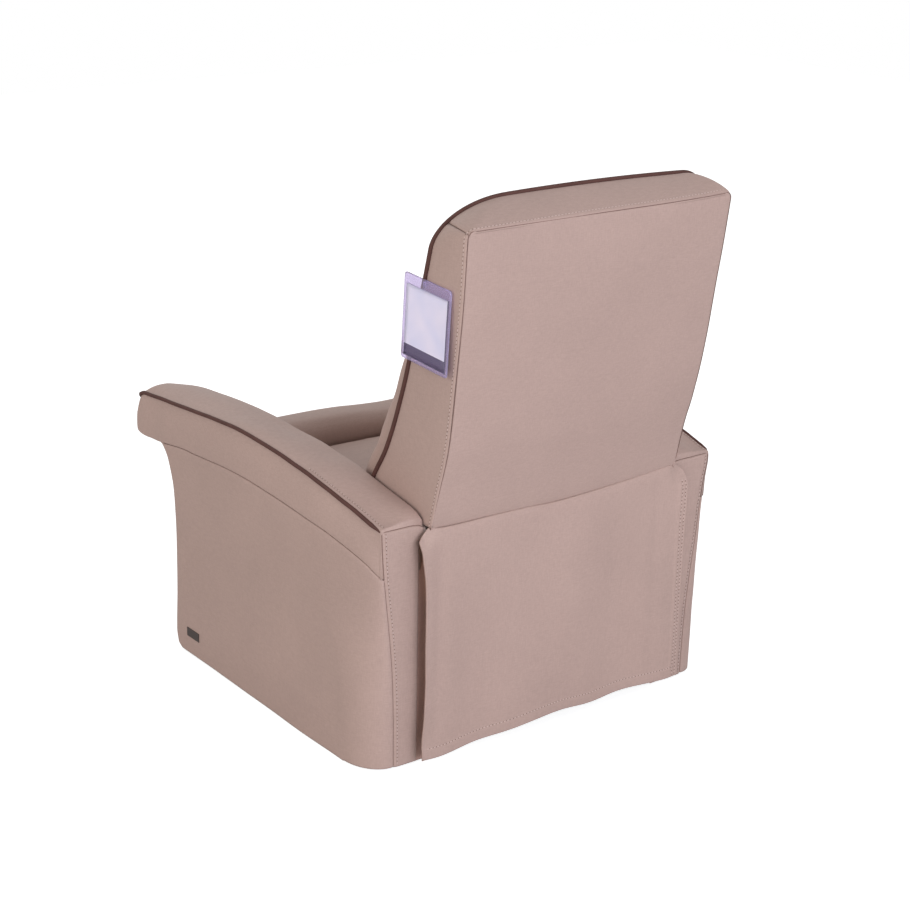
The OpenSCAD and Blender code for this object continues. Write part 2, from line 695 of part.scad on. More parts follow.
// The rod of a drive: its fork holds a pin that runs in the lever's slot
fork_r = 8;
fork_gap = 2 * gap;
fork_slot = 38;
fork_len = 44;
module drive_rod(x, pin_y, z, dir, l) {
  fork_w = 3 * steel_t + 2 * fork_gap;
  difference() {
    union() {
      y_rod(x, z, rod_r, pin_y - dir * fork_slot, pin_y - dir * l);
      box([x - fork_w / 2, pin_y, z - fork_r], [x + fork_w / 2, pin_y - dir * fork_len, z + fork_r]);
      x_rod(x, pin_y, z, fork_r, fork_w);
    }
    box([x - steel_t / 2 - fork_gap, pin_y + dir * (fork_r + cut), z - fork_r - cut],
      [x + steel_t / 2 + fork_gap, pin_y - dir * fork_slot, z + fork_r + cut]);
  }
  x_rod(x, pin_y, z, drive_pin_r, fork_w);
}
module recline_rod() {
  color("silver") drive_rod(-drive_x, recline_pin_y, recline_z, 1, rod_len(recline_drawn));
}
module leg_rod() {
  color("silver") drive_rod(drive_x, leg_pin_y, leg_z, -1, rod_len(leg_drawn));
}

// The control box and the power inlet
control_w = 110;
control_d = 70;
control_h = 40;
module control_box() {
  color([0.15, 0.15, 0.15])
    box([-control_w / 2 + 2 * drive_x, foot_rail_ys[1] - gap - control_d, foot_rail_z],
      [control_w / 2 + 2 * drive_x, foot_rail_ys[1] - gap, foot_rail_z + control_h]);
}
inlet_r = 9;
inlet_l = 8;
module power_inlet() {
  y0 = foot_rail_ys[1] + timber_t + gap;
  color("black") difference() {
    y_rod(2 * drive_x, foot_rail_z + foot_rail_h / 2, inlet_r, y0, y0 + inlet_l);
    y_rod(2 * drive_x, foot_rail_z + foot_rail_h / 2, inlet_r / 3, y0 + inlet_l / 3, y0 + inlet_l + cut);
  }
}

// Push buttons in a plate on the right arm's outer side
switch_in = 170;
switch_y = arm_front_y + switch_in;
switch_z = 352;
switch_pitch = 26;
switch_t = 3.2;
switch_x = -side_x - gap;
button_len = 3;
module switch_plate() {
  color([0.15, 0.15, 0.15]) difference() {
    hull()
      for (s = [-1, 1])
        x_rod(switch_x - switch_t / 2, switch_y + s * switch_pitch / 2, switch_z,
          button_r + 3 * free_gap, switch_t);
    for (s = [-1, 1])
      x_rod(switch_x, switch_y + s * switch_pitch / 2, switch_z, button_r + gap, 4 * switch_t);
  }
}
module push_button(s) {
  x_rod(switch_x - switch_t - button_travel + button_len / 2, switch_y + s * switch_pitch / 2,
    switch_z, button_r, button_len);
}
module recline_button() { color("silver") push_button(1); }
module return_button() { color("silver") push_button(-1); }

// The lumbar cushion reaches down to this height
lumbar_drop = 27;
lumbar_foot_z = pivot_z - lumbar_drop;

// Stiles of the back: plywood sides with a tail that carries the cross tube
back_side_top = back_h - front_corner_r;
stile_steps = 12;
eye_r = 16;
tail_inner_r = tail_r - board_t;
tail_start = 188;
tail_end = 224;
back_tube_ahead = 20;
back_tube_drop = 104;
back_tube_y = pivot_y - back_tube_ahead;
back_tube_z = pivot_z - back_tube_drop;
function stile_outline() = concat(
  [for (k = [0:stile_steps])
    let (z = mix(lumbar_foot_z - gap, back_side_top, k / stile_steps))
    [back_front(z) + back_pad_t + free_gap, z]],
  [for (k = [0:stile_steps])
    let (z = mix(back_side_top, back_foot_z + free_gap, k / stile_steps))
    [back_rear(z) - rear_panel_t - curve_gap, z]],
  [for (a = [20:-20:-60]) [pivot_y + eye_r * cos(a), pivot_z + eye_r * sin(a)]],
  [for (a = [0:-30:-120]) [back_tube_y + 2 * eye_r * cos(a), back_tube_z + 2 * eye_r * sin(a)]],
  [for (a = [tail_end:-4:tail_start])
    [pivot_y + (tail_inner_r - gap) * cos(a), pivot_z + (tail_inner_r - gap) * sin(a)]]);
module back_stile(side) {
  color("burlywood") on_side(side) difference() {
    across(stile_x - timber_t, stile_x) polygon(stile_outline());
    x_rod(stile_x, pivot_y, pivot_z, pivot_r + run_gap, 3 * timber_t);
    x_rod(stile_x, back_tube_y, back_tube_z, cross_r + run_gap, 3 * timber_t);
  }
}
strap_in = free_gap;
module back_rails() {
  x1 = stile_x - timber_t - gap;
  color("burlywood")
    for (z = [back_side_top - 2 * rail_h, lumbar_seam_z - rail_h, back_foot_z + rail_h])
      let (y = back_front(z + rail_h) + back_pad_t + strap_in + strap_t + gap)
        box([-x1, y, z], [x1, y + timber_t, z + rail_h]);
}
module back_cross_tube() {
  l = 2 * (stile_x - gap);
  color("dimgray") difference() {
    x_rod(0, back_tube_y, back_tube_z, cross_r, l);
    x_rod(0, back_tube_y, back_tube_z, cross_r - strap_t, l + 2 * cut);
  }
}
back_strap_shares = [-0.63, -0.22, 0.22, 0.63];
module back_straps() {
  color("dimgray")
    for (share = back_strap_shares)
      let (
        x = stile_x * share,
        z0 = back_foot_z + rail_h,
        z1 = back_side_top - rail_h,
        line = [for (k = [0:6])
          let (z = mix(z0, z1, k / 6)) [back_front(z) + back_pad_t + strap_in, z]],
        rear = [for (k = [6:-1:0]) [line[k].x + strap_t, line[k].y]])
        across(x - strap_w / 2, x + strap_w / 2) polygon(concat(line, rear));
}

// The lever that the recline rod drives: its slot is the path of the pin seen from the back
slot_steps = 12;
function turn(p, a) = [p.x * cos(a) - p.y * sin(a), p.x * sin(a) + p.y * cos(a)];
function recline_slot(k) =
  let (s = k / slot_steps)
  [pivot_y, pivot_z]
    + turn([-recline_pin_ahead - recline_stroke * s, -recline_drop], recline_deg * s);
end_degs = [15:15:165];
// The outline of a slot of half width r round a path, with round ends
function path_band(path, r) =
  let (
    n = len(path) - 1,
    t = [for (i = [0:n]) let (v = path[min(i + 1, n)] - path[max(i - 1, 0)]) v / norm(v)],
    d = [for (v = t) [v.y, -v.x]])
  concat([for (i = [0:n]) path[i] + r * d[i]],
    [for (a = end_degs) path[n] + r * (cos(a) * d[n] + sin(a) * t[n])],
    [for (i = [n:-1:0]) path[i] - r * d[i]],
    [for (a = end_degs) path[0] - r * (cos(a) * d[0] + sin(a) * t[0])]);
lever_wall = 9;
module recline_lever() {
  path = [for (k = [0:slot_steps]) recline_slot(k)];
  reach = drive_pin_r + lever_wall;
  a = path[0];
  b = path[slot_steps];
  color("silver") translate([-drive_x, 0, 0]) difference() {
    union() {
      across(-steel_t / 2, steel_t / 2) polygon([[back_tube_y - 2 * cross_r, back_tube_z],
        [a.x - reach, a.y], [b.x - reach, b.y], [b.x + reach, b.y], [a.x + reach, a.y],
        [back_tube_y + 2 * cross_r, back_tube_z]]);
      x_rod(0, b.x, b.y, reach, steel_t);
      x_rod(0, back_tube_y, back_tube_z, 2 * cross_r, steel_t);
    }
    across(-steel_t, steel_t) polygon(path_band(path, drive_pin_r + gap));
    x_rod(0, back_tube_y, back_tube_z, cross_r + run_gap, 2 * steel_t);
  }
}

// The outline of the back seen from behind: up a side, round the corner and along the top
corner_points = 7;
side_points = 9;
top_points = 7;
function back_half_outline(w, top, r, z0) = concat(
  [for (k = [0:side_points - 1]) [w, mix(z0, top - r, k / side_points)]],
  [for (k = [0:corner_points - 1])
    let (a = 90 * k / (corner_points - 1)) [w - r + r * cos(a), top - r + r * sin(a)]],
  [for (k = [1:top_points]) [mix(w - r, 0, k / top_points), top]]);
function crown_share(z, top) = max(0, min(1, (z - top) / front_corner_r + 1));
function crowned(p, w, top) =
  [p.x, p.y + back_crown * (1 - (p.x / w)^2) * crown_share(p.y, top)];
function back_outline(w, top, r, z0) =
  [for (p = back_half_outline(w, top, r, z0)) crowned(p, w, top)];
function front_edge(inset, ahead) =
  [for (p = back_outline(back_x - inset, back_h - inset, front_corner_r - inset, back_foot_z))
    [p.x * widen(p.y), back_front(p.y + inset) - ahead, p.y]];
function rear_edge(inset) =
  [for (p = back_outline(back_x - inset, back_h - back_top_drop - inset, rear_corner_r, back_foot_z))
    [p.x * widen(p.y), back_rear(p.y) - gap, p.y]];
boxing_front = piping_r + 1.5 * curve_gap;
quarter_shares = [0, 0.25, 0.5, 0.75, 1];
function boxing_grid(inset, i0, i1) =
  let (f = front_edge(inset + boxing_crown, -boxing_front), r = rear_edge(inset + boxing_crown),
    c = inset == 0 ? boxing_crown : 0)
  [for (i = [i0:i1])
    let (out = i < side_points ? [c, 0, 0] : i < side_points + corner_points
      ? [c * cos(90 * (i - side_points) / (corner_points - 1)), 0,
         c * sin(90 * (i - side_points) / (corner_points - 1))] : [0, 0, c])
    [for (s = quarter_shares)
      mix(f[i], r[i] - [0, rear_panel_t, 0], s) + out * 4 * s * (1 - s)]];
corner_seam = side_points + 2;
last_point = side_points + corner_points + top_points - 1;
module side_boxing(side) {
  color("rosybrown") on_side(side)
    sheet(boxing_grid(boxing_t, 0, corner_seam), boxing_grid(0, 0, corner_seam));
}
function flip(g) = [for (row = g) [for (p = row) [-p.x, p.y, p.z]]];
function tail_of(g) = [for (i = [0:len(g) - 2]) g[i]];
function reversed(g) = [for (i = [len(g) - 1:-1:0]) g[i]];
function over_top(g) = concat(tail_of(g), reversed(flip(g)));
seam_gap_share = 0.04;
module top_boxing() {
  outer = boxing_grid(0, corner_seam, last_point);
  inner = boxing_grid(boxing_t, corner_seam, last_point);
  function start(g) = concat([mix(g[0], g[1], seam_gap_share)], [for (i = [1:len(g) - 1]) g[i]]);
  color("rosybrown") sheet(over_top(start(inner)), over_top(start(outer)));
}

// The rear panel, with softly rounded upper corners
function panel_row(half, off) =
  let (lift = back_crown * crown_share(half.z, back_h - back_top_drop) * (half.x / back_x)^2)
  [for (u = [0:1 / 8:1])
    let (v = 1 - 2 * u, z = half.z + lift * (1 - v^2))
    [half.x * v, back_rear(z) - off, z]];
module rear_panel() {
  edge = rear_edge(0);
  rows = [for (i = [0:side_points + corner_points - 1]) edge[i]];
  color("rosybrown")
    sheet([for (p = rows) panel_row(p, rear_panel_t)], [for (p = rows) panel_row(p, 0)]);
}

// The tail board that fills the gap to the seat as the back reclines
module tail_board() {
  arc = [for (a = [tail_start:4:tail_end]) a];
  color("rosybrown")
    across(-stile_x, stile_x)
      polygon(concat(
        [for (a = arc) [pivot_y + tail_r * cos(a), pivot_z + tail_r * sin(a)]],
        [for (a = reversed(arc)) [pivot_y + tail_inner_r * cos(a), pivot_z + tail_inner_r * sin(a)]]));
}

// Back cushions: a core between the boxing strips and a stuffed face in front of the piping
core_in = boxing_t + boxing_crown + curve_gap;
core_t = back_pad_t + piping_r + 2 * gap;
pad_corner_r = 12;
face_shares = [[0.3, 0], [0, 0.3], [0, 0.6], [0.25, 0.85], [0.62, 1]];
rear_shares = [0.9, 0.5, 0.2];
// Each entry holds a ring and how far it is lowered; drop is taken off the top of the core
function back_pad_rings(w, d, lift, crown, r, drop) = let (core_d = d - drop) concat(
  [for (s = rear_shares)
    [inset_ring(w, core_d, mix(core_in, min(w, core_d) / 2, s), 0, r), drop / 2]],
  [for (z = [0, core_t - gap]) [inset_ring(w, core_d, core_in, z, r), drop / 2]],
  [for (s = face_shares) [inset_ring(w, d, lift * s[0], core_t + lift * s[1], r), 0]],
  [for (c = crown_rings(w, d, lift, core_t + lift, crown, r)) [c, 0]]);
// Lays a ring on the front line of the back
function on_back(ring, z_mid) = [for (p = ring)
  let (z = z_mid + p.y) [p.x * widen(z), back_front(z) + back_pad_t - p.z, z]];
module back_cushion(h, z_mid, lift, crown, r, drop) {
  color("rosybrown")
    loft([for (ring = back_pad_rings(2 * back_x, h, lift, crown, r, drop))
      on_back(ring[0], z_mid - ring[1])]);
}
module lumbar_cushion() {
  h = lumbar_seam_z - gap - lumbar_foot_z;
  back_cushion(h, lumbar_foot_z + h / 2, lumbar_lift, lumbar_crown, [pad_corner_r, pad_corner_r], 0);
}
module head_cushion() {
  h = back_h - lumbar_seam_z - gap;
  back_cushion(h, back_h - h / 2, head_lift, head_crown, [front_corner_r, pad_corner_r],
    back_top_drop + boxing_t - core_in);
}

// The piping round the front edge of the back
module back_piping() {
  half = front_edge(piping_r, 0);
  path = over_top([for (p = half) [p]]);
  color([0.3, 0.22, 0.21]) cord([for (g = path) g[0]], piping_r, [0, 1, 0.15]);
}

// The leg rest: a board with its hinge ears and lever, and a stuffed pad in front
module leg_board() {
  half = rail_x - 2 * side_gap;
  color("burlywood") {
    box([-half, leg_rear_y - board_t, leg_foot_z + 2 * free_gap],
      [half, leg_rear_y, leg_hinge_z - 2 * ear_r + gap]);
    for (x = leg_hinge_xs)
      difference() {
        union() {
          x_rod(x, hinge_y, leg_hinge_z, ear_r, steel_t);
          box([x - steel_t / 2, hinge_y, leg_hinge_z - ear_r],
            [x + steel_t / 2, leg_rear_y, leg_hinge_z + ear_r - free_gap]);
          box([x - steel_t / 2, leg_rear_y - board_t, leg_hinge_z - 2 * ear_r],
            [x + steel_t / 2, leg_rear_y, leg_hinge_z]);
        }
        x_rod(x, hinge_y, leg_hinge_z, leg_pin_r, 2 * steel_t);
      }
  }
}
leg_crown = 8;
module leg_cushion() {
  z0 = leg_foot_z;
  z1 = leg_hinge_z - ear_r - free_gap;
  t = leg_rear_y - board_t - gap - leg_front_y - leg_crown;
  r = [pad_corner_r, pad_corner_r];
  color("rosybrown")
    translate([0, leg_rear_y - board_t - gap, (z0 + z1) / 2]) rotate([90, 0, 0])
      loft(pad_rings(2 * (back_x - free_gap), z1 - z0, t, leg_crown, pad_corner_r, r));
}
// The pin strays most from the slot's middle line at this share of half the travel
stray_share = 0.57;
stray_deg = atan(stray_share * tan(leg_deg / 2));
leg_stray = leg_drop / cos(stray_deg) * sin(stray_deg - stray_share * leg_deg / 2);
leg_slot_half = drive_pin_r + leg_stray + gap;
module leg_lever() {
  h = [hinge_y, leg_hinge_z];
  dir = [sin(leg_deg / 2), -cos(leg_deg / 2)];
  r0 = leg_drop;
  r1 = leg_drop / cos(leg_deg / 2);
  p0 = h + r0 * dir;
  p1 = h + r1 * dir;
  n = [dir.y, -dir.x];
  wall = leg_slot_half + lever_wall;
  y0 = leg_rear_y + gap;
  function corner(p, a, b) = p + a * dir + b * n;
  c1 = corner(p1, wall, wall);
  c2 = corner(p1, wall, -wall);
  color("silver") translate([drive_x, 0, 0]) difference() {
    across(-steel_t / 2, steel_t / 2) intersection() {
      polygon([corner(p0, -3 * wall, wall), c1, c2, corner(p0, -3 * wall, -wall)]);
      polygon([[y0, 0], [y0 + leg_drop, 0], [y0 + leg_drop, leg_hinge_z], [y0, leg_hinge_z]]);
    }
    across(-steel_t, steel_t) polygon(path_band([p0, p1], leg_slot_half));
  }
}

// The skirt: cloth hung from the foot of the back, with soft folds
skirt_top_y = back_rear(back_foot_z) + gap;
skirt_out = 4;
skirt_top_half = 290;
skirt_taper = 3;
hem_wave = 1.5;
skirt_top_z = back_foot_z - 2 * gap;
shoulder_share = (skirt_top_z - skirt_shoulder_z) / (skirt_top_z - skirt_foot_z);
skirt_row_shares = [0, 0.03, shoulder_share, 0.12, 0.25, 0.4, 0.55, 0.7, 0.85, 0.95, 1];
skirt_cols = 28;
function fold(u, v) =
  fold_depth * min(v * 3, 1)
    * (0.6 * sin(360 * (2.1 * u + 0.35 * v)) + 0.4 * sin(360 * (3.7 * u - 0.5 * v) + 80));
function skirt_half(z) = z > skirt_shoulder_z
  ? mix(skirt_half_w, skirt_top_half, (z - skirt_shoulder_z) / (skirt_top_z - skirt_shoulder_z))
  : mix(skirt_half_w - skirt_taper, skirt_half_w, (z - skirt_foot_z) / (skirt_shoulder_z - skirt_foot_z));
function skirt_grid(off) = [for (v = skirt_row_shares)
  let (z = mix(skirt_top_z, skirt_foot_z, v), half = skirt_half(z))
  [for (i = [0:skirt_cols]) let (u = i / skirt_cols)
    [mix(half, -half, u), skirt_top_y + skirt_out * min(v / shoulder_share, 1) + fold(u, v) + off,
      z + (v == 1 ? hem_wave * sin(360 * (1.6 * u + 0.1)) : 0)]]];
module skirt() {
  color("rosybrown") sheet(skirt_grid(cloth_t), skirt_grid(0));
}

// The hang tag: a clear sleeve with a plain card, on a fastener in the boxing
tag_stand = 4.5;  // stand-off of the tag from the boxing
tag_x = back_x + back_flare + boxing_crown + tag_stand;
tag_y = 361;
tag_top_z = 891;
tag_hole_drop = 9;
tag_hole_r = 2.6;
sleeve_t = 2;
card_t = 0.8;
card_in = 6;
tag_head_t = 1;
module tag_fastener() {
  z = tag_top_z - tag_hole_drop;
  root_x = back_x + back_flare - boxing_crown + gap;
  head_x = tag_x + sleeve_t + gap;
  color("white") {
    x_rod((root_x + head_x) / 2, tag_y, z, tag_hole_r - run_gap, head_x - root_x);
    x_rod(head_x + tag_head_t / 2, tag_y, z, 2 * tag_hole_r, tag_head_t);
  }
}
module tag_sleeve() {
  z1 = tag_top_z;
  slack = gap / 3;
  color([0.8, 0.8, 0.95, 0.5]) difference() {
    box([tag_x, tag_y - tag_w / 2, z1 - tag_h], [tag_x + sleeve_t, tag_y + tag_w / 2, z1]);
    box([tag_x + (sleeve_t - card_t) / 2 - slack, tag_y - tag_w / 2 + card_in - gap,
        z1 - tag_h + card_in - gap],
      [tag_x + (sleeve_t + card_t) / 2 + slack, tag_y + tag_w / 2 - card_in + gap,
        z1 - 3 * card_in + gap]);
    x_rod(tag_x, tag_y, z1 - tag_hole_drop, tag_hole_r, 4 * sleeve_t);
  }
}
module tag_card() {
  z1 = tag_top_z;
  color("lightsteelblue")
    box([tag_x + (sleeve_t - card_t) / 2, tag_y - tag_w / 2 + card_in, z1 - tag_h + card_in],
      [tag_x + (sleeve_t + card_t) / 2, tag_y + tag_w / 2 - card_in, z1 - 3 * card_in]);
}

arm_frame(1);  // left_arm_frame
arm_frame(-1);  // right_arm_frame
outer_panel(1);  // left_outer_panel
outer_panel(-1);  // right_outer_panel
inner_panel(1);  // left_inner_panel
inner_panel(-1);  // right_inner_panel
front_panel(1);  // left_front_panel
front_panel(-1);  // right_front_panel
rear_strip(1);  // left_rear_strip
rear_strip(-1);  // right_rear_strip
arm_pad(1);  // left_arm_pad
arm_pad(-1);  // right_arm_pad
arm_piping(1);  // left_arm_piping
arm_piping(-1);  // right_arm_piping
glides();
side_label();
seat_frame_rails();
bottom_rails();
front_deck();
front_bolster();
seat_cushion();
seat_straps();
dust_cover();
cross_tubes();
pivot_plates();
pivot_pins();
leg_hinge_brackets();
leg_hinge_pins();
recline_motor();
recline_outer_tube();
leg_motor();
leg_outer_tube();
control_box();
power_inlet();
switch_plate();
recline_button();
return_button();
back_stile(1);  // left_back_stile
back_stile(-1);  // right_back_stile
back_rails();
back_cross_tube();
recline_lever();
back_straps();
rear_panel();
side_boxing(1);  // left_boxing
side_boxing(-1);  // right_boxing
top_boxing();
tail_board();
lumbar_cushion();
head_cushion();
back_piping();
tag_fastener();
leg_board();
leg_cushion();
leg_lever();
recline_rod();
leg_rod();
skirt();
tag_sleeve();
tag_card();
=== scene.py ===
import math

import bpy
import numpy as np
from mathutils import Matrix, Vector


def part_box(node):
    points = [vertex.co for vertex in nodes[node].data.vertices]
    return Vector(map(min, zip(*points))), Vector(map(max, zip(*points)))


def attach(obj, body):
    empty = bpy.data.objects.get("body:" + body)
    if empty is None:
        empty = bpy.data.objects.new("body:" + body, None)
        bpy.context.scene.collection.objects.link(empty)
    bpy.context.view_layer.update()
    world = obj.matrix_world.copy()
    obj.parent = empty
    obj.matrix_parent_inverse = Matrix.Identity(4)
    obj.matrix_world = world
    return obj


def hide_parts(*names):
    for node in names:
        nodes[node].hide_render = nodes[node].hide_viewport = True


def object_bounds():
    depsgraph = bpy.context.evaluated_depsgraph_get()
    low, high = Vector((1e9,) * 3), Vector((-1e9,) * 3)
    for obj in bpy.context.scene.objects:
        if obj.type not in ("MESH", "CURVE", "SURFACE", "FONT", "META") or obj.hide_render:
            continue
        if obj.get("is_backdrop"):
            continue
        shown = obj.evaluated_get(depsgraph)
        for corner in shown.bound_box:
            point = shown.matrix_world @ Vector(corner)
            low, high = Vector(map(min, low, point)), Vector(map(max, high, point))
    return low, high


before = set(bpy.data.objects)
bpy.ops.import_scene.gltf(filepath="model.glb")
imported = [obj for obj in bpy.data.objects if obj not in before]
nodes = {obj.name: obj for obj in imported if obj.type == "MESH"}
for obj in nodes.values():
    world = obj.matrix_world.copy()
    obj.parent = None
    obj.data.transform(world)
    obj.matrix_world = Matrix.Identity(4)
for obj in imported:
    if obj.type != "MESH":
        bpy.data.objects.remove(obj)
cad_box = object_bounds()

# Studio. A white floor and a white surround, a broad soft lamp behind the chair on the camera's
# side, a weaker one over the seat, and the camera where the photographer stood.
camera_place = (2.1731, 2.924, 1.6793)
camera_turn, camera_dip, camera_tilt = (math.radians(a) for a in (37.1634, 18.9856, 1.1642))
backward = Vector((
    math.sin(camera_turn) * math.cos(camera_dip),
    math.cos(camera_turn) * math.cos(camera_dip),
    math.sin(camera_dip),
))
level_right = (-backward).cross(Vector((0, 0, 1))).normalized()
level_up = level_right.cross(-backward)
camera_right = level_right * math.cos(camera_tilt) + level_up * math.sin(camera_tilt)
camera_up = level_up * math.cos(camera_tilt) - level_right * math.sin(camera_tilt)
lens = bpy.data.cameras.new("camera")
lens.lens, lens.sensor_width = 78.74, 36
camera = bpy.data.objects.new("camera", lens)
camera.matrix_world = Matrix.Translation(camera_place) @ Matrix(
    (camera_right, camera_up, backward)
).transposed().to_4x4()
bpy.context.scene.collection.objects.link(camera)
bpy.context.scene.camera = camera
bpy.context.scene.view_settings.view_transform = "Standard"


def new_material(name, color, roughness, **sockets):
    """A material with its shader's own sockets set: the material, its shader and its tree."""
    material = bpy.data.materials.new(name)
    material.use_nodes = True
    shader = material.node_tree.nodes["Principled BSDF"]
    shader.inputs["Base Color"].default_value = (*color, 1)
    shader.inputs["Roughness"].default_value = roughness
    for socket, value in sockets.items():
        shader.inputs[socket.replace("_", " ")].default_value = value
    material.diffuse_color = (*color, 1)
    return material, shader, material.node_tree


def add(tree, kind, **settings):
    """Adds a node. A setting that names an attribute sets it, one that names a socket fills it."""
    node = tree.nodes.new("ShaderNode" + kind)
    for key in [k for k in settings if hasattr(node, k)]:
        setattr(node, key, settings.pop(key))
    for key, value in settings.items():
        socket = node.inputs[int(key[1:])] if key[0] == "_" else node.inputs[key.replace("_", " ")]
        if hasattr(value, "is_output"):
            tree.links.new(value, socket)
        else:
            socket.default_value = value
    return node


def compute(tree, operation, a, b):
    """What a Math node makes of a and b."""
    return add(tree, "Math", operation=operation, _0=a, _1=b).outputs[0]


def seen_by(tree, *kinds):
    """1 where the ray that meets the surface is of one of the kinds, otherwise 0."""
    rays = add(tree, "LightPath")
    level = rays.outputs[kinds[0]]
    for kind in kinds[1:]:
        level = compute(tree, "MAXIMUM", level, rays.outputs[kind])
    return level


def lamp(name, place, aim, size, power, color):
    """A soft rectangular lamp at a place, turned to shine at the aim."""
    light = bpy.data.lights.new(name, "AREA")
    light.shape, light.size, light.size_y = "RECTANGLE", *size
    light.energy, light.color = power, color
    obj = bpy.data.objects.new(name, light)
    obj.location = place
    obj.rotation_euler = (Vector(aim) - Vector(place)).to_track_quat("-Z", "Y").to_euler()
    bpy.context.scene.collection.objects.link(obj)


lamp("key_lamp", (0.4, 4.2, 1.5), (0, 0, 0.5), (3.0, 2.2), 108, (0.895, 0.915, 1))
lamp("side_lamp", (3.9, 0.6, 1.5), (0, 0, 0.5), (2.2, 2.2), 44, (1, 0.955, 0.89))
lamp("front_lamp", (-1.0, -3.8, 2.4), (0, 0, 0.5), (2.4, 2.4), 15, (1, 0.98, 0.96))

world = bpy.data.worlds.new("studio")
bpy.context.scene.world = world
world.use_nodes = True
sky = world.node_tree
seen = seen_by(sky, "Is Camera Ray", "Is Glossy Ray", "Is Transmission Ray")
strength = add(sky, "MapRange", Value=seen, To_Min=0.56, To_Max=1.0)
sky.links.new(strength.outputs[0], sky.nodes["Background"].inputs["Strength"])
sky.nodes["Background"].inputs["Color"].default_value = (1, 1, 1, 1)

floor_side, below_chair = 14.0, 0.0005
mesh = bpy.data.meshes.new("floor")
corners = np.array([(-1, -1), (1, -1), (1, 1), (-1, 1)]) * floor_side / 2
mesh.from_pydata([(*c, -below_chair) for c in corners.tolist()], [], [(0, 1, 2, 3)])
floor = bpy.data.objects.new("floor", mesh)
bpy.context.collection.objects.link(floor)
floor_paint, shader, tree = new_material("floor_paint", (0.58, 0.58, 0.58), 0.9)
seen = seen_by(tree, "Is Camera Ray", "Is Transmission Ray")
glow = add(tree, "Emission", Color=(1, 1, 1, 1))
tree.links.new(compute(tree, "MULTIPLY", seen, 0.8), glow.inputs["Strength"])
both = add(tree, "AddShader", _0=shader.outputs[0], _1=glow.outputs[0])
tree.links.new(both.outputs[0], tree.nodes["Material Output"].inputs["Surface"])
mesh.materials.append(floor_paint)
floor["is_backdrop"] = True

# Arms, left and right. Each is a timber box under leatherette: a padded cap that runs out into a
# blunt nose, a flat side that turns a long soft corner at the rear, a front panel that sweeps up
# under the nose and a rear strip sewn in last. Cut and sewn covers over foam, stapled below.
inner_x, side_x = 0.286, 0.3985
nose_y, arm_rear_y, sole_z = -0.479, 0.348, 0.004
leather_color = (0.432, 0.306, 0.268)
cover_t = 0.004


def curve(points):
    """A smooth curve through points, as a function: cubic pieces whose slope at a point is that
    from the point before it to the point after it."""
    x, y = np.array(points, float).T
    i = np.arange(len(x))
    before, after = np.maximum(i - 1, 0), np.minimum(i + 1, len(x) - 1)
    slope = (y[after] - y[before]) / (x[after] - x[before])

    def height(t):
        i = np.clip(np.searchsorted(x, t, side="right") - 1, 0, len(x) - 2)
        h = x[i + 1] - x[i]
        u = np.clip((t - x[i]) / h, 0, 1)
        return ((2 * u**3 - 3 * u**2 + 1) * y[i] + (u**3 - 2 * u**2 + u) * h * slope[i]
                + (3 * u**2 - 2 * u**3) * y[i + 1] + (u**3 - u**2) * h * slope[i + 1])

    return height


def ramp(x, start, length):
    """0 up to the start, then evenly up to 1 over the length."""
    return np.clip((x - start) / length, 0, 1)


def hump(x, middle, width):
    """A bell round the middle: e to the minus square of the distance over the width."""
    return np.exp(-((x - middle) / width) ** 2)


# From nose to rear: the cap's top and foot, and how far its inner edge lies below its top.
arm_top = curve([
    [-0.479, 0.46], [-0.4785, 0.47], [-0.4765, 0.4815], [-0.4725, 0.491], [-0.4665, 0.498],
    [-0.458, 0.5028], [-0.447, 0.5046], [-0.4312, 0.5055], [-0.3824, 0.5096], [-0.3345, 0.5124],
    [-0.2876, 0.5159], [-0.2415, 0.519], [-0.1963, 0.5224], [-0.1519, 0.5246], [-0.1084, 0.5267],
    [-0.0657, 0.5263], [-0.0238, 0.5243], [0.0174, 0.522], [0.058, 0.519], [0.0975, 0.5143],
    [0.1351, 0.5096], [0.1714, 0.5028], [0.2067, 0.496], [0.241, 0.4881], [0.2745, 0.4808],
    [0.3073, 0.4716], [0.3287, 0.4654], [0.3481, 0.4613]])
arm_foot = curve([
    [-0.479, 0.448], [-0.4785, 0.437], [-0.478, 0.4265], [-0.476, 0.4185], [-0.469, 0.4145],
    [-0.457, 0.4128], [-0.44, 0.4128], [-0.4242, 0.4142], [-0.3906, 0.4166], [-0.3672, 0.4205],
    [-0.3425, 0.4236], [-0.29, 0.43], [-0.25, 0.4315], [-0.2115, 0.4335], [-0.135, 0.4378],
    [-0.062, 0.4387], [0.01, 0.4355], [0.079, 0.4314], [0.1465, 0.4252], [0.212, 0.4178],
    [0.276, 0.4041], [0.3155, 0.3905], [0.3377, 0.376], [0.348, 0.3675]])
inner_fall = curve([
    [-0.475, 0.007], [-0.455, 0.006], [-0.435, 0.002], [-0.405, -0.0015], [-0.355, -0.003],
    [-0.255, -0.003], [-0.215, -0.0015], [-0.175, 0], [-0.135, 0.002], [-0.095, 0.0045],
    [-0.041, 0.0057], [0.032, 0.003], [0.086, 0.003], [0.156, 0], [0.21, -0.001], [0.25, -0.003],
    [0.28, -0.005], [0.305, -0.008], [0.325, -0.0095], [0.338, -0.007], [0.348, -0.002]])


def cord_x(y):
    """The top edge's distance from the middle: straight, then drawn in towards the rear by the
    1.6th power of the way."""
    return 0.3885 - 0.015 * ramp(y, 0.08, 0.268) ** 1.6


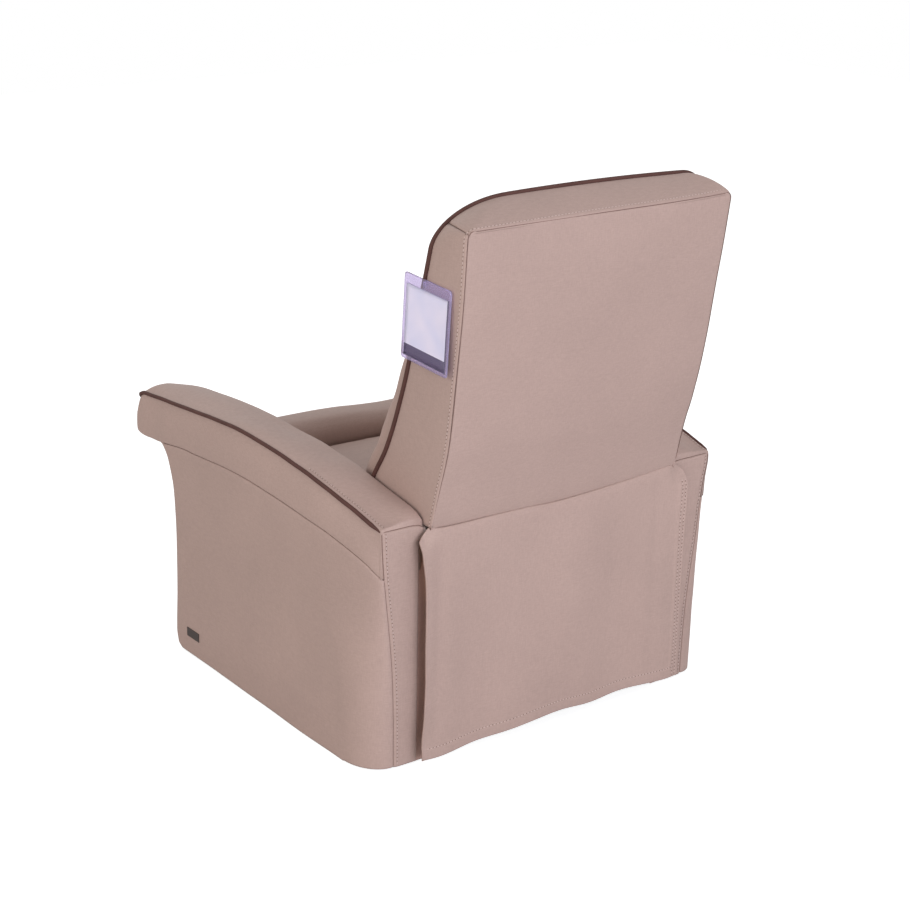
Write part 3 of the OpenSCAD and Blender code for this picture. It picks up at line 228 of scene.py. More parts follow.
def surface(name, grid, wrap=False, out=None):
    """A skin over a grid of points of rows and columns. With wrap each row is a ring and both ends
    are closed, and the faces point away from the inside; otherwise they point along out."""
    rows, columns = grid.shape[:2]
    i, j = np.meshgrid(np.arange(rows - 1), np.arange(columns if wrap else columns - 1), indexing="ij")
    a, b = i * columns + j, i * columns + (j + 1) % columns
    quads = np.stack([a, b, b + columns, a + columns], -1).reshape(-1, 4)
    p = grid.reshape(-1, 3)
    normal = np.cross(p[quads[:, 2]] - p[quads[:, 0]], p[quads[:, 3]] - p[quads[:, 1]])
    middle = p[quads].mean(1)
    away = middle - p.mean(0) if out is None else np.broadcast_to(out, middle.shape)
    turned = (normal * away).sum() < 0
    faces = (quads[:, ::-1] if turned else quads).tolist()
    if wrap:
        first, last = list(range(columns)), list(range((rows - 1) * columns, rows * columns))
        faces += [first, last[::-1]] if turned else [first[::-1], last]
    mesh = bpy.data.meshes.new(name)
    mesh.from_pydata(p.tolist(), [], faces)
    mesh.shade_smooth()
    obj = bpy.data.objects.new(name, mesh)
    bpy.context.collection.objects.link(obj)
    return obj


def finish(obj, material, slot, body, *replaced, thickness=None):
    """Gives a piece its material and body, the CAD nodes it stands for and a wall; the slot is not used.
    """
    obj.data.materials.append(material)
    if thickness:
        wall = obj.modifiers.new("wall", "SOLIDIFY")
        wall.thickness, wall.offset = thickness, -1
    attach(obj, body)
    if replaced:
        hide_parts(*replaced)
    return obj


def edge_first(grid, edge):
    """The grid turned so that the named edge is its first row."""
    return {"first": grid, "last": grid[::-1], "left": grid.swapaxes(0, 1),
            "right": grid.swapaxes(0, 1)[::-1]}[edge]


def tuck(grid, edge, into, depth=0.003, width=0.012):
    """Draws one edge of a panel into its seam: a point at distance d from the edge moves along
    into by depth times (1 - d / width) squared."""
    g = edge_first(grid, edge)
    d = np.concatenate([np.zeros((1, g.shape[1])),
                        np.cumsum(np.linalg.norm(np.diff(g, axis=0), axis=2), axis=0)])
    g += (depth * np.clip(1 - d / width, 0, 1) ** 2)[..., None] * np.asarray(into, float)


def stack(*parts):
    """Arrays of one shape put together as the coordinates of points."""
    return np.stack(np.broadcast_arrays(*parts), -1)


def seam_steps(count, near=0.25):
    """Steps from 0 to 1 that lie closer together towards both ends."""
    t = np.linspace(0, 1, count)
    return (1 - near) * (0.5 - 0.5 * np.cos(np.pi * t)) + near * t


def own_place(tree):
    """A point's place on the piece itself."""
    return add(tree, "TexCoord").outputs["Object"]


def noise(tree, place, scale, detail, **settings):
    return add(tree, "TexNoise", Vector=place, Scale=scale, Detail=detail, **settings).outputs[0]


def between(tree, value, low, high, **span):
    """The value brought between low and high."""
    return add(tree, "MapRange", Value=value, To_Min=low, To_Max=high, **span).outputs[0]


def color_by(tree, shader, color, tone):
    """Makes the base colour the given one times the tone."""
    tinted = add(tree, "VectorMath", operation="SCALE", _0=color, Scale=tone)
    tree.links.new(tinted.outputs[0], shader.inputs["Base Color"])


def bump_by(tree, shader, height, strength, distance):
    bump = add(tree, "Bump", Strength=strength, Distance=distance, Height=height)
    tree.links.new(bump.outputs[0], shader.inputs["Normal"])


# Matte leatherette: a fine pebble in the bump, a faint woven backing that prints through, and a
# broad cloudy variation in the colour.
leather, shader, tree = new_material("taupe_leatherette", leather_color, 0.56, Specular_IOR_Level=0.22,
                                     Sheen_Weight=0.05, Sheen_Roughness=0.45)
place = own_place(tree)
upright = add(tree, "Mapping", Vector=place, Scale=(1, 1, 0.16))
level = add(tree, "Mapping", Vector=place, Scale=(0.16, 0.16, 1))
weave = compute(tree, "ADD", *(noise(tree, way.outputs[0], 620, 2) for way in (upright, level)))
cloud = noise(tree, place, 5.5, 3, Roughness=0.55)
pebble = add(tree, "TexVoronoi", Vector=place, Scale=850, feature="SMOOTH_F1")
color_by(tree, shader, leather_color, compute(
    tree, "MULTIPLY", between(tree, weave, 0.94, 1.06, From_Min=0.7, From_Max=1.3),
    between(tree, cloud, 0.965, 1.035, From_Min=0.3, From_Max=0.7)))
tree.links.new(between(tree, cloud, 0.5, 0.64), shader.inputs["Roughness"])
height = add(tree, "MixRGB", blend_type="MIX", Fac=0.45, Color1=pebble.outputs["Distance"], Color2=weave)
bump_by(tree, shader, height.outputs[0], 0.22, 0.0006)


def round_in(d, r):
    """How far a corner of radius r draws in at distance d from its end."""
    return np.where(d >= r, 0, r - np.sqrt(np.maximum(r**2 - (r - np.minimum(d, r)) ** 2, 0)))


def ring_curve(points, between=6):
    """A closed smooth curve through control points, each a pair of arrays over the stations."""
    p = np.stack([stack(*q) for q in points])
    u = (np.arange(between) / between)[:, None, None, None]
    a, b, c, d = (np.roll(p, k, 0) for k in (1, 0, -1, -2))
    q = 0.5 * (2 * b + (c - a) * u + (2 * a - 5 * b + 4 * c - d) * u**2
               + (3 * b - a - 3 * c + d) * u**3)
    return q.swapaxes(0, 1).reshape(-1, *p.shape[1:])


rear_seam = curve([
    [0, 0.343], [0.094, 0.344], [0.1665, 0.3463], [0.2206, 0.3501], [0.2745, 0.3557],
    [0.324, 0.3613], [0.37, 0.3663], [0.415, 0.3698], [0.456, 0.3717]])


def rear_seam_x(z):
    """The rear corner seam's distance from the middle, which keeps its last value above 0.456."""
    return rear_seam(np.clip(z, 0, 0.456))


def corner_run(z):
    """How long the rear corner is in plan: 0.078 at the floor, growing with the seam's lean."""
    return 0.078 + 0.172 * (rear_seam_x(z) - 0.343) / 0.0287


def side_plan(z, angle):
    """The rear corner in plan, a quarter of an ellipse from the side's plane to the seam."""
    rx, ry = side_x - rear_seam_x(z), corner_run(z)
    return side_x - rx + rx * np.cos(angle), arm_rear_y - ry + ry * np.sin(angle)


def side_x_at(y, z):
    """The side's distance from the middle at y, on its plane or on the corner's ellipse."""
    rx, ry = side_x - rear_seam_x(z), corner_run(z)
    s = np.clip((y - arm_rear_y + ry) / ry, 0, 1)
    return side_x - rx + rx * np.sqrt(1 - s**2)


cap_y = nose_y + 0.0004 + (0.3462 - nose_y - 0.0004) * seam_steps(150, 0.12)
nose_in = round_in(cap_y - nose_y, 0.005) * 0.5
top_z, foot_z = arm_top(cap_y), arm_foot(cap_y)
cap_h = top_z - foot_z
k = np.minimum(1, cap_h / 0.07)
fall = inner_fall(cap_y)
crown = np.interp(cap_y, [nose_y, -0.455, -0.35, -0.1], [0.003, 0.01, 0.0085, 0.0032])
roll_down = round_in(arm_rear_y - cap_y, 0.004) * 0.5
full = np.clip((-0.4 - cap_y) / 0.05, 0, 1)
top_z = top_z - roll_down
xc, xi = cord_x(cap_y) - nose_in - 0.0015, inner_x + nose_in
xs = side_x_at(cap_y, foot_z) - nose_in
xs = np.maximum(xs - 0.003 * np.clip((-0.36 - cap_y) / 0.05, 0, 1), xc + 0.001)
cap_rings = ring_curve([
    (xc - 0.0004 * k, top_z - 0.0026 * k), (xc - 0.006 * k, top_z - 0.0002 * k),
    (xc - 0.024 * k, top_z + crown * 0.62), ((xc + xi) / 2, top_z - fall / 2 + crown),
    (xi + 0.026 * k, top_z - fall + crown * 0.62), (xi + 0.0065 * k, top_z - fall),
    (xi + 0.0012 * k, top_z - fall - 0.004 * k), (xi, top_z - fall - 0.014 * k),
    (xi, foot_z + cap_h * 0.35), (xi + 0.002 * k, foot_z + 0.008 * k), (xi + 0.008 * k, foot_z),
    ((xc + xi) / 2, foot_z), (xs - 0.012 * k, foot_z), (xs - 0.0022 * k, foot_z + 0.0004 * k),
    (xs - 0.0002 * k, foot_z + 0.006 * k),
    (xs + (xc - xs) * (0.1 - 0.05 * full), foot_z + cap_h * 0.3),
    (xs + (xc - xs) * (0.42 - 0.22 * full), foot_z + cap_h * 0.6),
    (xc + (0.001 + 0.0025 * full) * k, top_z - 0.013 * k),
    (xc + 0.0002 * k, top_z - 0.0055 * k),
], 5)
cap_grid = stack(cap_rings[..., 0], cap_y, cap_rings[..., 1]).swapaxes(0, 1)

front_line = curve([
    [0.004, -0.313], [0.01, -0.324], [0.0156, -0.3269], [0.036, -0.3315], [0.12, -0.3262],
    [0.18, -0.3242], [0.2478, -0.3234], [0.2905, -0.3253], [0.3323, -0.329], [0.3562, -0.3342],
    [0.3791, -0.3426], [0.3982, -0.3513], [0.4082, -0.3595], [0.4177, -0.3705], [0.4212, -0.3805]])
along = seam_steps(80, 0.35)[:, None]
rise = seam_steps(64, 0.4)[None, :]
side_start_y, band_z = -0.378, 0.42
y_top = side_start_y + (arm_rear_y - corner_run(band_z) - side_start_y) * along
side_foot = sole_z - 0.002 * ramp(y_top, -0.28, 0.12) - 0.0017 * hump(y_top, 0.14, 0.06)
side_z = side_foot + (arm_foot(y_top) - 0.0003 - side_foot) * rise
flat_end = arm_rear_y - corner_run(side_z)
side_y = front_line(side_z) + (flat_end - front_line(side_z)) * along
bulge = 0.003 * np.exp(-((side_y - 0.14) / 0.09) ** 2 - side_z / 0.05)
side_part = stack(side_x + bulge, side_y, side_z)
turn = np.radians(np.linspace(0, 90, 40))[1:, None]
turn_z = np.broadcast_to(band_z * rise, (39, 64))
side_foot = sole_z - 0.002 + 0.003 * turn / turn[-1]
for _ in range(3):
    turn_x, turn_y = side_plan(turn_z, turn)
    turn_z = side_foot + (arm_foot(turn_y[:, -1:]) - 0.0003 - side_foot) * rise
side_grid = np.concatenate([side_part, stack(turn_x, turn_y, turn_z)])
side_grid[..., 0] += 0.0007 * np.sin(7 * side_grid[..., 1] + 5 * side_grid[..., 2]) * np.sin(
    9 * side_grid[..., 2]) * (side_grid[..., 1] < 0.1)
tuck(side_grid, "right", (-1, 0, 0), 0.0016, 0.006)
tuck(side_grid, "last", (-0.5, -0.8, 0), 0.002, 0.006)
tuck(side_grid, "first", (-0.7, 0.7, 0), 0.0012, 0.008)

front_across = seam_steps(24)[:, None]
front_z = sole_z + (0.4209 - sole_z) * rise
front_grid = stack(inner_x + 0.0005 + (side_x - inner_x - 0.0005) * front_across,
                   front_line(front_z) - 0.0012 * np.sin(np.pi * front_across) ** 0.5, front_z)
tuck(front_grid, "first", (0.7, 0.7, 0), 0.003, 0.01)
tuck(front_grid, "last", (-0.7, 0.7, 0), 0.0012, 0.008)

strip_across = seam_steps(30)[:, None]
strip_top = [
    [0.277, 0.4406], [0.281, 0.4448], [0.288, 0.4512], [0.296, 0.4548], [0.312, 0.4566],
    [0.38, 0.4566]]
strip_x, strip_z = 0.372 - 0.08 * strip_across + 0 * rise, 0.4566 * rise + 0 * strip_across
for _ in range(4):
    strip_z = sole_z + (np.interp(strip_x, *np.array(strip_top).T) - sole_z) * rise
    strip_in = 0.2935 - 0.0165 * ramp(strip_z, 0.4265, 0.013)
    outer_seam = rear_seam_x(strip_z) - 0.0004
    strip_x = outer_seam + (strip_in - outer_seam) * strip_across
strip_grid = stack(strip_x, arm_rear_y + 0.0003
                   + 0.001 * np.sin(np.pi * np.minimum(strip_across, 0.5)) ** 0.6
                   - 0.002 * ramp(strip_across, 0.96, 0.04) ** 2, strip_z)
tuck(strip_grid, "first", (0, -1, 0), 0.0024, 0.006)
tuck(strip_grid, "right", (0, -1, -0.3), 0.0026, 0.006)


splay_share = curve([
    [0, 0.44], [0.075, 0.57], [0.105, 0.61], [0.135, 0.66], [0.165, 0.79], [0.195, 0.87],
    [0.255, 0.93], [0.285, 0.91], [0.316, 0.8], [0.346, 0.7], [0.376, 0.69], [0.406, 0.81],
    [0.436, 1.15], [0.47, 1.15], [0.53, 1.1]])


def splay(points):
    """The right arm's rear half stands out further: outward by up to 15 mm, with the 1.6th power
    of the way to the rear times a share that depends on the height. Its top sinks towards the
    outer edge by 5 mm along the front half, and its outer rear corner is rounded by 8 mm."""
    p = np.array(points, float)
    right, out = p[..., 0] < 0, np.abs(p[..., 0])
    way = ramp(p[..., 1], 0.08, 0.268) ** 1.6 * ramp(out, 0.3, 0.08)
    share = splay_share(p[..., 2])
    front_half_way = np.clip(-p[..., 1] / 0.12, 0, 1) * ramp(p[..., 1], -0.46, 0.08)
    rear_way = ramp(p[..., 1], 0.27, 0.07)
    sunk = (0.005 * ramp(out, 0.31, 0.07) * front_half_way
            + 0.008 * ramp(out, 0.375, 0.0135) ** 1.5 * rear_way**2 * (3 - 2 * rear_way))
    p[..., 2] -= np.where(right, sunk * ramp(p[..., 2], 0.41, 0.05), 0)
    p[..., 0] -= np.where(right, 0.015 * way * share, 0)
    return p


cord_r, cord_start_y, cord_end_y = 0.0038, -0.465, 0.3425


def tube(name, path, radius, sides=12):
    """A round cord swept along a path: each ring stands square to the way from the point before
    to the point after, and its start direction is carried on with no twist."""
    path = np.asarray(path, float)
    t = np.gradient(path, axis=0)
    t /= np.linalg.norm(t, axis=1, keepdims=True)
    u = np.zeros_like(t)
    u[0] = np.cross(t[0], (0.3, 0.5, 0.81))
    for i in range(1, len(t)):
        u[i] = u[i - 1] - t[i] * (u[i - 1] @ t[i])
    u /= np.linalg.norm(u, axis=1, keepdims=True)
    w = np.cross(t, u)
    a = np.linspace(0, 2 * np.pi, sides, endpoint=False)[None, :, None]
    r = np.broadcast_to(radius, len(path))[:, None, None]
    around = np.cos(a) * u[:, None] + np.sin(a) * w[:, None]
    return surface(name, path[:, None] + r * around, wrap=True)


stitch_pitch = 0.0073


def along_path(path, values, ahead=0.0):
    """Values given at a path's points, read a stitch pitch apart along it, each a way ahead."""
    d = np.concatenate([[0], np.cumsum(np.linalg.norm(np.diff(path, axis=0), axis=1))])
    s = np.minimum(np.arange(stitch_pitch / 2, d[-1], stitch_pitch) + ahead, d[-1])
    return np.stack([np.interp(s, d, values[:, c]) for c in range(3)], 1)


thread_color = (0.64, 0.5, 0.45)
thread, shader, tree = new_material("thread", thread_color, 0.6, Sheen_Weight=0.2)
ply = add(tree, "TexWave", Vector=own_place(tree), Scale=900, Distortion=1.5)
color_by(tree, shader, thread_color, between(tree, ply.outputs["Fac"], 0.82, 1.08))


def clouded(name, color, roughness, scale, detail, low, high, **sockets):
    """A material whose colour goes between low and high times its own with a noise."""
    material, shader, tree = new_material(name, color, roughness, **sockets)
    cloud = noise(tree, own_place(tree), scale, detail)
    color_by(tree, shader, color, between(tree, cloud, low, high))
    return material, shader, tree, cloud


# Painted shade: a dark colour for the creases of seams, the needle holes of stitches and the underside
# of the skirt's lower edge.
seam_shade = clouded("seam_shade", (0.185, 0.115, 0.096), 0.8, 90, 2, 0.6, 1.5,
                     Specular_IOR_Level=0.1)[0]


def painted_crease_shade(name, path, body="base", radius=0.0006):
    """A thin dark tube of painted shade that lies in the bottom of a seam, where its crease is shaded.
    """
    return finish(tube(name, path, radius, 8), seam_shade, "piping", body)


def stitch_row(name, path, up, body="base", length=0.0052, width=0.0014, hole_r=0.0009):
    """A row of thread dashes along a path: each is a small spindle of 6 sides and 3 rings that
    lies on the cover, half sunk in it, and a needle hole of 6 sides lies between two, dark with
    painted shade. Up is one direction, or the way out at each of the path's points."""
    path, up = np.asarray(path, float), np.asarray(up, float)
    p = along_path(path, path)
    t = along_path(path, path, stitch_pitch / 4) - along_path(path, path, -stitch_pitch / 4)
    t /= np.linalg.norm(t, axis=1, keepdims=True)
    n = along_path(path, up) if up.ndim == 2 else np.broadcast_to(up, p.shape)
    n = n - t * (n * t).sum(1, keepdims=True)
    n /= np.linalg.norm(n, axis=1, keepdims=True)
    b = np.cross(t, n)
    a = np.linspace(0, 2 * np.pi, 6, endpoint=False)
    s, r = np.array([-0.38, 0, 0.38]), np.array([0.36, 0.5, 0.36])
    ring = (p[:, None, None] + length * s[:, None, None] * t[:, None, None]
            + width * r[:, None, None] * (np.cos(a)[:, None] * b[:, None, None]
                                          + 0.8 * np.sin(a)[:, None] * n[:, None, None]))
    tips = p[:, None] + length * np.array([-0.5, 0.5])[:, None] * t[:, None]
    hole = (p[:, None] + t[:, None] * stitch_pitch / 2 + hole_r / 3 * n[:, None] + hole_r * (
        1.25 * np.cos(a)[:, None] * t[:, None] + np.sin(a)[:, None] * b[:, None]))
    v = np.concatenate([ring.reshape(len(p), 18, 3), tips, hole], 1)
    i = np.arange(6)
    j = (i + 1) % 6
    sides = np.concatenate([stack(i + o, j + o, j + o + 6, i + o + 6) for o in (0, 6)])
    caps = [stack(j, i, 18), stack(i + 12, j + 12, 19)]
    base = np.arange(len(p))[:, None, None] * 26
    faces = (sides + base).reshape(-1, 4).tolist() + sum(
        ((c + base).reshape(-1, 3).tolist() for c in caps), [])
    holes = (np.arange(20, 26)[::-1] + base[:, 0]).tolist()
    mesh = bpy.data.meshes.new(name)
    mesh.from_pydata(v.reshape(-1, 3).tolist(), [], faces + holes)
    mesh.shade_smooth()
    mesh.polygons.foreach_set("material_index", [0] * len(faces) + [1] * len(holes))
    obj = bpy.data.objects.new(name, mesh)
    bpy.context.collection.objects.link(obj)
    finish(obj, thread, "piping", body)
    # The needle holes take the painted shade of the seams.
    mesh.materials.append(seam_shade)
    return obj


piping, shader, tree, _ = clouded("brown_piping", (0.092, 0.042, 0.035), 0.68, 40, 2, 0.75, 1.3,
                                  Specular_IOR_Level=0.18)
grain = add(tree, "TexVoronoi", Vector=own_place(tree), Scale=900)
bump_by(tree, shader, grain.outputs["Distance"], 0.15, 0.0003)
lining, shader, tree, weave = clouded("brown_lining", (0.565, 0.35, 0.29), 0.7, 420, 3, 0.8, 1.15)
bump_by(tree, shader, weave, 0.2, 0.0004)


def cover(name, grid, body, *replaced, wrap=False, out=None):
    """A leatherette piece: a closed skin where the grid wraps, otherwise a panel of cover_t."""
    return finish(surface(name, grid, wrap, out), leather, "leatherette", body, *replaced,
                  thickness=None if wrap else cover_t)


def repaint(material, *names):
    """Gives CAD nodes a material in place of their own."""
    for name in names:
        nodes[name].data.materials.clear()
        nodes[name].data.materials.append(material)


for side, word in ((1, "left"), (-1, "right")):
    mirror = np.array([side, 1, 1])
    cap = cover(f"{word}_arm_cap", splay(cap_grid * mirror), "base", f"{word}_arm_pad", wrap=True)
    cover(f"{word}_arm_side", splay(side_grid * mirror), "base", f"{word}_outer_panel",
          out=(side, 0.3, 0))
    cover(f"{word}_arm_front", front_grid * mirror, "base", f"{word}_front_panel", out=(0, -1, 0))
    cover(f"{word}_arm_rear", splay(strip_grid * mirror), "base", f"{word}_rear_strip", out=(0, 1, 0))
    repaint(leather, f"{word}_inner_panel")

    s, t = seam_steps(30)[:, None], seam_steps(14)[None]
    inset = stack(0.304 - 0.0332 * t, 0.345 - 0.0008 * np.sin(np.pi * t) + 0 * s, 0.001 + 0.433 * s)
    inset = surface(f"{word}_recess_lining", inset * mirror, out=(0, 1, 0))
    finish(inset, lining, "leatherette", "base", thickness=0.0012)

    y = cord_start_y + (cord_end_y - cord_start_y) * seam_steps(170, 0.4)
    line = stack(cord_x(y) + 0.0005, y, arm_top(y) - cord_r)
    line -= np.outer(ramp(y - cord_end_y, -0.0085, 0.0085) ** 2, (0.0025, 0, 0.003))
    a = np.radians(np.linspace(0, 90, 13))[1:, None]
    bend = line[:1] - np.concatenate(
        [0.009 * (1 - np.cos(a)), 0.0112 * np.sin(a), 0.0098 * np.sin(a) ** 2], 1)
    over = stack(np.linspace(bend[-1, 0] - 0.004, inner_x + 0.014, 24), *bend[-1, 1:])
    cord = np.concatenate([over[::-1], bend[::-1], line])
    radius = np.full(len(cord), cord_r)
    radius[:6] *= np.linspace(0.3, 1, 6)
    radius[-10:] *= np.linspace(1, 0.45, 10)
    finish(tube(f"{word}_arm_cord", splay(cord * mirror), radius), piping, "piping", "base",
           f"{word}_arm_piping")
    y = np.linspace(0.13, 0.345, 60)
    inside = stack(cord_x(y) - 0.0085, y, arm_top(y) + 0.0007)
    stitch_row(f"{word}_arm_top_stitches", splay(inside * mirror), (0, 0, 1))
    z = np.linspace(sole_z + 0.004, 0.452, 80)
    line = stack(rear_seam_x(z), arm_rear_y + 0.0013, z)
    stitch_row(f"{word}_arm_rear_stitches", splay((line - (0.0068, 0, 0)) * mirror), (0, 1, 0))
    # Thin dark tubes of painted shade in the creases of the rear corner seam, the strip's top seam and
    # the band seam.
    painted_crease_shade(f"{word}_arm_corner_seam", splay((line - (0, 0.003, 0)) * mirror))
    painted_crease_shade(f"{word}_arm_strip_seam_shade", splay(strip_grid[:, -1] * mirror), radius=0.00045)
    y = np.linspace(0.22, 0.3475, 60)
    line = stack(side_x_at(y, arm_foot(y)) - 0.0018, y, arm_foot(y))
    painted_crease_shade(f"{word}_arm_band_seam_shade", splay(line * mirror), radius=0.0004)

# Back. A wedge of two ply stiles under a boxing strip that goes up one side, over the top and down
# the other, with a dark cord sewn in along its front edge and a flat panel sewn in behind.
back_h, back_foot = 1.018, 0.452
front_r, front_top, rear_corner, rear_top, back_crown = (0.075, 0.055), 1.0156, 0.013, 0.988, 0.008
front_run, rear_run = (1.9, 1.1), (1.25, 1.0)
front_way = curve([
    [0.4045, 0.992], [0.4386, 0.913], [0.4864, 0.8325], [0.5497, 0.7094], [0.65, 0.5765],
    [0.7125, 0.5026], [0.8567, 0.352], [0.923, 0.293], [1.01, 0.226]])
rear_way_in = curve([
    [0.43, 0.306], [0.449, 0.293], [0.507, 0.251], [0.595, 0.179], [0.731, 0.105], [0.86, 0.037],
    [0.965, 0]])
rear_half = curve([
    [0.4, 0.2834], [0.457, 0.2834], [0.58, 0.2795], [0.67, 0.2812], [0.8, 0.2857], [0.97, 0.2925],
    [1.1, 0.2925]])
back_rear_y, back_run = 0.465, 0.325


def back_front(z):
    """Where the back's front edge is: its share of back_run ahead of back_rear_y."""
    return back_rear_y - back_run * front_way(z / back_h)


def back_rear(z):
    """Where the rear panel's plane is, in the same way."""
    return back_rear_y - back_run * rear_way_in(z / back_h)


def front_half(z):
    """Half the width of the back's front edge: 0.284, widening by 0.011 in an S between 0.6 and
    0.92 up."""
    u = ramp(z, 0.6, 0.32)
    return 0.284 + 0.011 * u**2 * (3 - 2 * u)


# How much wider the rear panel's right half is than its left one, as a share.
right_rear = curve([
    [0.44, -0.01], [0.49, -0.01], [0.525, -0.009], [0.56, -0.007], [0.59, 0.002], [0.62, 0.007],
    [0.655, 0.012], [0.69, 0.0135], [0.72, 0.0125], [0.75, 0.0085], [0.785, 0.0005], [0.85, -0.012],
    [0.95, -0.02], [1.05, -0.02]])


def right_lift(x):
    """The rear seam's rise towards the top right corner: 4 mm times the way past -0.09 squared."""
    return 0.004 * np.clip((-x - 0.09) / 0.19, 0, 1.1) ** 2


def right_wider(z):
    """The factor by which the right side stands out further than the left one near the top."""
    return 1 + 0.003 * ramp(z, 0.7, 0.25)


def back_outline(half_at, top, radii, runs, crown, counts=(80, 26, 50)):
    """Up the left side, round the corner, over the crowned top and down the right side, as seen
    from behind, and which way is outward at each point. Each side has its own corner radius,
    and a corner's length along the top is its radius times the side's run, times the cosine to
    the power 0.88, which makes it fuller than an ellipse."""
    sides = []
    for r, share in zip(radii, runs):
        up = back_foot + (top - r - back_foot) * np.linspace(0, 1, counts[0])
        a = np.linspace(0, np.pi / 2, counts[1])[1:]
        w, run = half_at(np.array(top)), share * r
        over = (w - run) * (1 - np.linspace(0, 1, counts[2])[1:])
        round_x = w - run + run * np.cos(a) ** 0.88
        x = np.concatenate([half_at(up) - half_at(up[-1]) + w, round_x, over])
        z = np.concatenate([up, top - r + r * np.sin(a), np.full(counts[2] - 1, top)])
        z = z + crown * (1 - (x / w) ** 2) * np.clip((z - top) / r + 1, 0, 1)
        sides.append(stack(x, z))
    way = np.concatenate([np.zeros(counts[0]), a, np.full(counts[2] - 1, np.pi / 2)])
    right = sides[1][-2::-1] * (-1, 1)
    right[:, 0] *= right_wider(right[:, 1])
    whole = np.concatenate([sides[0], right])
    angle = np.concatenate([way, np.pi - way[-2::-1]])
    return whole, stack(np.cos(angle), 0, np.sin(angle))


edge_f, outward = back_outline(front_half, front_top, front_r, front_run, back_crown)
edge_r, _ = back_outline(rear_half, rear_top, (rear_corner, rear_corner), rear_run, 0.001)
edge_r[:, 0] *= np.where(edge_r[:, 0] < 0, 1 + right_rear(edge_r[:, 1]), 1)
edge_r[:, 1] += right_lift(edge_r[:, 0]) * ramp(edge_r[:, 1], 0.9, 0.06)
front_edge = stack(edge_f[:, 0], back_front(edge_f[:, 1]), edge_f[:, 1]) - outward * 0.0016
rear_edge = stack(edge_r[:, 0], back_rear(edge_r[:, 1]), edge_r[:, 1])
depth = seam_steps(36, 0.4)[None, :, None]
boxing = front_edge[:, None] + (rear_edge - front_edge)[:, None] * depth
swell = 0.0034 + 0.0026 * np.sin(np.pi * np.clip(outward[:, 2], 0, 1)) ** 2
swell *= np.clip((edge_f[:, 1] - back_foot) / 0.12, 0.15, 1)
swell += 0.004 * hump(edge_f[:, 0], -0.255, 0.035) * outward[:, 2]
boxing += outward[:, None] * swell[:, None, None] * (4 * depth * (1 - depth)) ** 0.75
rows_below_seam = 80 + 9
seam_rows = (rows_below_seam, len(edge_f) - 1 - rows_below_seam)


def back_piece(name, first, last, *replaced):
    """The stretch of boxing from one row to another, tucked in along its seams."""
    part = boxing[first:last + 1].copy()
    inward = -outward[first:last + 1]
    tuck(part, "right", inward * 0.75 + np.array((0, -0.35, 0)), 0.002, 0.006)
    tuck(part, "left", inward, 0.0016, 0.006)
    if first > 0:
        tuck(part, "first", inward[0], 0.0014, 0.005)
    if last < len(edge_f) - 1:
        tuck(part, "last", inward[-1], 0.0014, 0.005)
    cover(name, part, "backrest", *replaced)


back_piece("left_back_side", 0, seam_rows[0], "left_boxing")
back_piece("right_back_side", seam_rows[1], len(edge_f) - 1, "right_boxing")
back_piece("back_top_strip", seam_rows[0], seam_rows[1], "top_boxing")

skirt_top = curve([
    [-0.31, 0.4612], [-0.28, 0.4605], [-0.15, 0.451], [0, 0.4446], [0.08, 0.4474], [0.15, 0.4483],
    [0.244, 0.4485], [0.31, 0.453]])
climb = 1 - (1 - seam_steps(110, 0.5)) ** 1.25
level = back_foot + (rear_top - back_foot) * climb
half = rear_half(level) - round_in(rear_top - level, rear_corner)
across = 2 * seam_steps(91, 0.4) - 1
x = half[:, None] * -across[None]
x = np.where(x < 0, x * (right_wider(level) + right_rear(level))[:, None], x)
lift = 0.001 * np.clip((level - rear_top) / rear_corner + 1, 0, 1)[:, None]
foot = skirt_top(x) - 0.004
z = foot + (rear_top - foot) * climb[:, None] + lift * (1 - across[None] ** 2)
z = z + right_lift(x) * ramp(level, 0.9, 0.06)[:, None]
u, v = np.abs(across)[None], ((level - back_foot) / (rear_top - back_foot))[:, None]
puff = 0.0065 * (1 - u**4) * (1 - v**8) * np.minimum(1, 0.2 + 3 * v)
drape = 0.001 * np.sin(9 * x + 4 * z) * np.sin(13 * z + 3 * x + 1)
pulled = -0.003 * np.exp(-v / 0.03)
rear_grid = stack(x, back_rear(z) + puff + drape + pulled, z)
for edge, sideways, up in (("left", -0.75, 0), ("right", 0.75, 0), ("last", 0, -0.75)):
    tuck(rear_grid, edge, (sideways, -0.5, up), 0.0022, 0.006)
cover("back_rear_panel", rear_grid, "backrest", "rear_panel", out=(0, 1, 0))
# A thin dark tube of painted shade in the crease round the rear panel, and thinner ones in the boxing's
# corner seams.
rim = np.concatenate([rear_grid[:, 0], rear_grid[-1, 1:], rear_grid[-2::-1, -1]])
painted_crease_shade("back_panel_seam_shade", rim + (0, 0.0008, 0), "backrest")
for word, row in (("left", seam_rows[0]), ("right", seam_rows[1])):
    line = boxing[row, 1:-1] - outward[row] * 0.001
    painted_crease_shade(f"back_{word}_corner_seam", line, "backrest", 0.0003)

back_cord_r = 0.0041
cord_line = stack(edge_f[:, 0], back_front(edge_f[:, 1]) - 0.0016, edge_f[:, 1]) - outward * 0.0006
finish(tube("back_cord", cord_line, back_cord_r), piping, "piping", "backrest", "back_piping")

reach = front_edge - rear_edge
reach /= np.linalg.norm(reach, axis=1, keepdims=True)
beside = rear_edge + reach * 0.007 + outward * (0.0002 + swell[:, None] * 0.28)
stitch_row("back_seam_stitches", beside, outward, "backrest")


